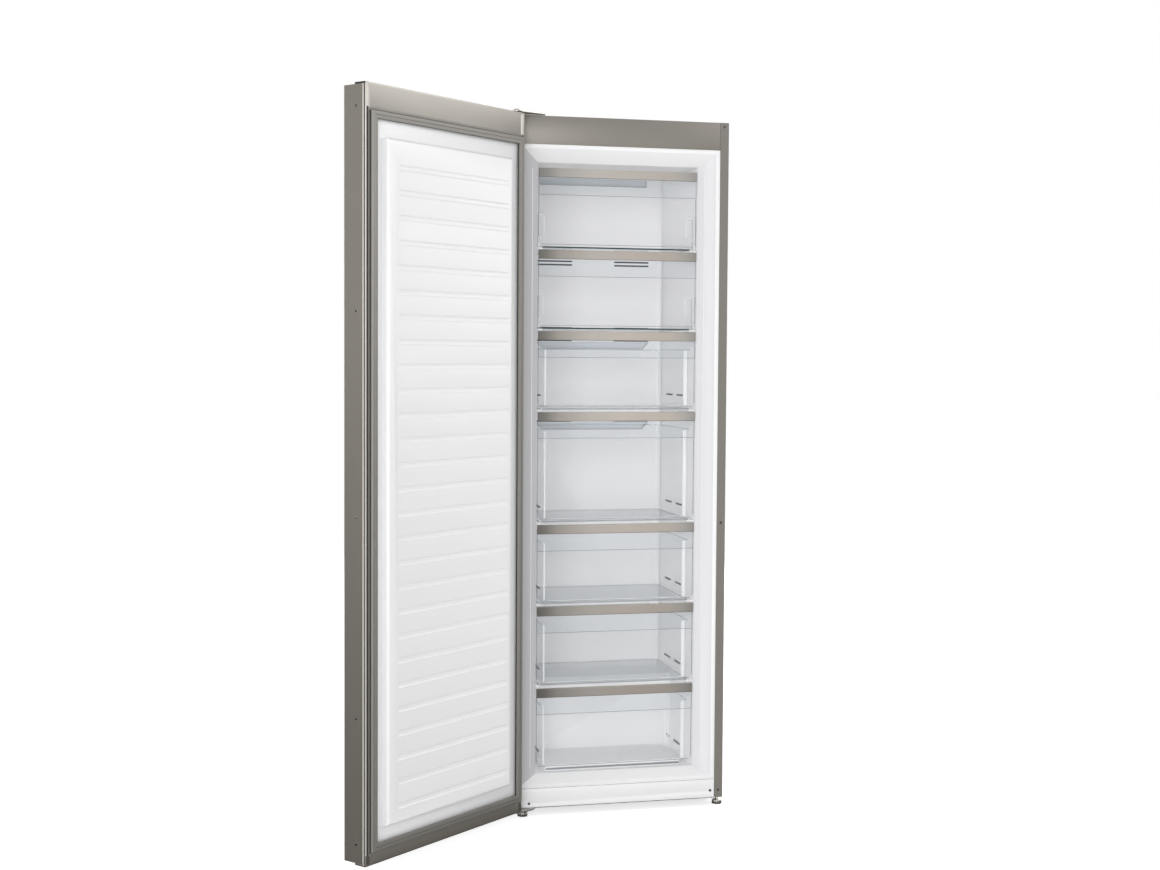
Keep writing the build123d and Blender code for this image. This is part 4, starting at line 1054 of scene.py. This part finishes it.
# painted shadow: a dark bar where the lowest drawer's foot shades the raised floor's front
floor_shadow_line = bars(((-0.186, 0.0458, 0.1105), (0.186, 0.048, 0.1155)), rounding=0.0006)
dress("raised_floor_painted_shadow", floor_shadow_line, [painted_shade_line], "cabinet")

# ---- Camera ----


def photo_camera():
    """The camera at the photograph's place, with its angles in radians."""
    photo_width, focal_pixels = 1160, 1642.27
    yaw, pitch, roll = 0.229996, -0.046843, 0.006191
    eye = Vector((-1.098794, -4.230841, 1.218527))
    forward = Vector((sin(yaw) * cos(pitch), cos(yaw) * cos(pitch), sin(pitch)))
    level_right = Vector((cos(yaw), -sin(yaw), 0))
    level_up = level_right.cross(forward)
    view_right = level_right * cos(roll) + level_up * sin(roll)
    view_up = level_up * cos(roll) - level_right * sin(roll)
    camera = bpy.data.objects.new("camera", bpy.data.cameras.new("camera"))
    camera.data.sensor_width = 36
    camera.data.lens = focal_pixels * camera.data.sensor_width / photo_width
    turn = Matrix((view_right, view_up, -forward)).transposed()
    camera.matrix_world = Matrix.Translation(eye) @ turn.to_4x4()
    bpy.context.scene.collection.objects.link(camera)
    bpy.context.scene.camera = camera
    bpy.context.scene.view_settings.view_transform = "Standard"


photo_camera()

# ---- Light and floor ----


def softbox(name, spot, aim, size, watts, gloss_only=False):
    """A large square lamp at a spot, facing a point, or a panel seen only in reflections."""
    lamp = bpy.data.lights.new(name, "AREA")
    lamp.size = size
    lamp.energy = watts
    holder = bpy.data.objects.new(name, lamp)
    holder.visible_diffuse = not gloss_only
    holder.location = spot
    holder.rotation_euler = (Vector(aim) - Vector(spot)).to_track_quat("-Z", "Y").to_euler()
    bpy.context.scene.collection.objects.link(holder)


def studio_world():
    """White where it is seen or mirrored, and dimmer as a light on the object."""
    ambient, mirrored = 0.36, 0.66
    sky = Finish(bpy.data.worlds.new("studio"))
    level = sky.seen_straight() * (1 - ambient) + sky.ray("Glossy") * (mirrored - ambient) + ambient
    shown = sky.node("Background", inputs={"Color": white, "Strength": level})
    bpy.context.scene.world = sky.done(shown, "World")


def pale_floor():
    """A plain floor that glows a little where it is seen, and is dim in reflections."""
    glow, floor_size = 0.7, 40
    ground = new_finish("pale_floor")
    paving = ground.surface(
        Base_Color=ground.mix(ground.ray("Glossy"), (0.8, 0.8, 0.8), (0.08, 0.075, 0.07)),
        Roughness=0.9,
        Emission_Color=white,
        Emission_Strength=ground.seen_straight() * glow,
    )
    form = bmesh.new()
    bmesh.ops.create_grid(form, x_segments=1, y_segments=1, size=floor_size)
    sheet = bpy.data.meshes.new("floor")
    form.to_mesh(sheet)
    form.free()
    sheet.materials.append(ground.done(paving))
    floor = bpy.data.objects.new("floor", sheet)
    bpy.context.scene.collection.objects.link(floor)


softbox("right_lamp", (3.4, -1.6, 3.0), (0, 0, 1.2), 3.0, 47)
softbox("right_glow", (3.2, -0.2, 2.5), (-0.4, -0.2, 1.6), 2.8, 26, gloss_only=True)
softbox("front_glow", (1.9, -4.4, 0.5), (0.2, 0, 0.7), 2.0, 24, gloss_only=True)
softbox("front_lamp", (-1.7, -4.9, 1.5), (0, 0, 0.95), 3.0, 127)
softbox("back_lamp", (1.6, 4.6, 2.4), (0, 0.5, 0.9), 3.0, 120)
softbox("back_left_lamp", (-3.4, 2.6, 1.7), (-0.5, 0, 0.9), 2.6, 66)
softbox("left_lamp", (-3.6, -2.2, 1.2), (0, 0, 0.8), 2.6, 40)
studio_world()
pale_floor()
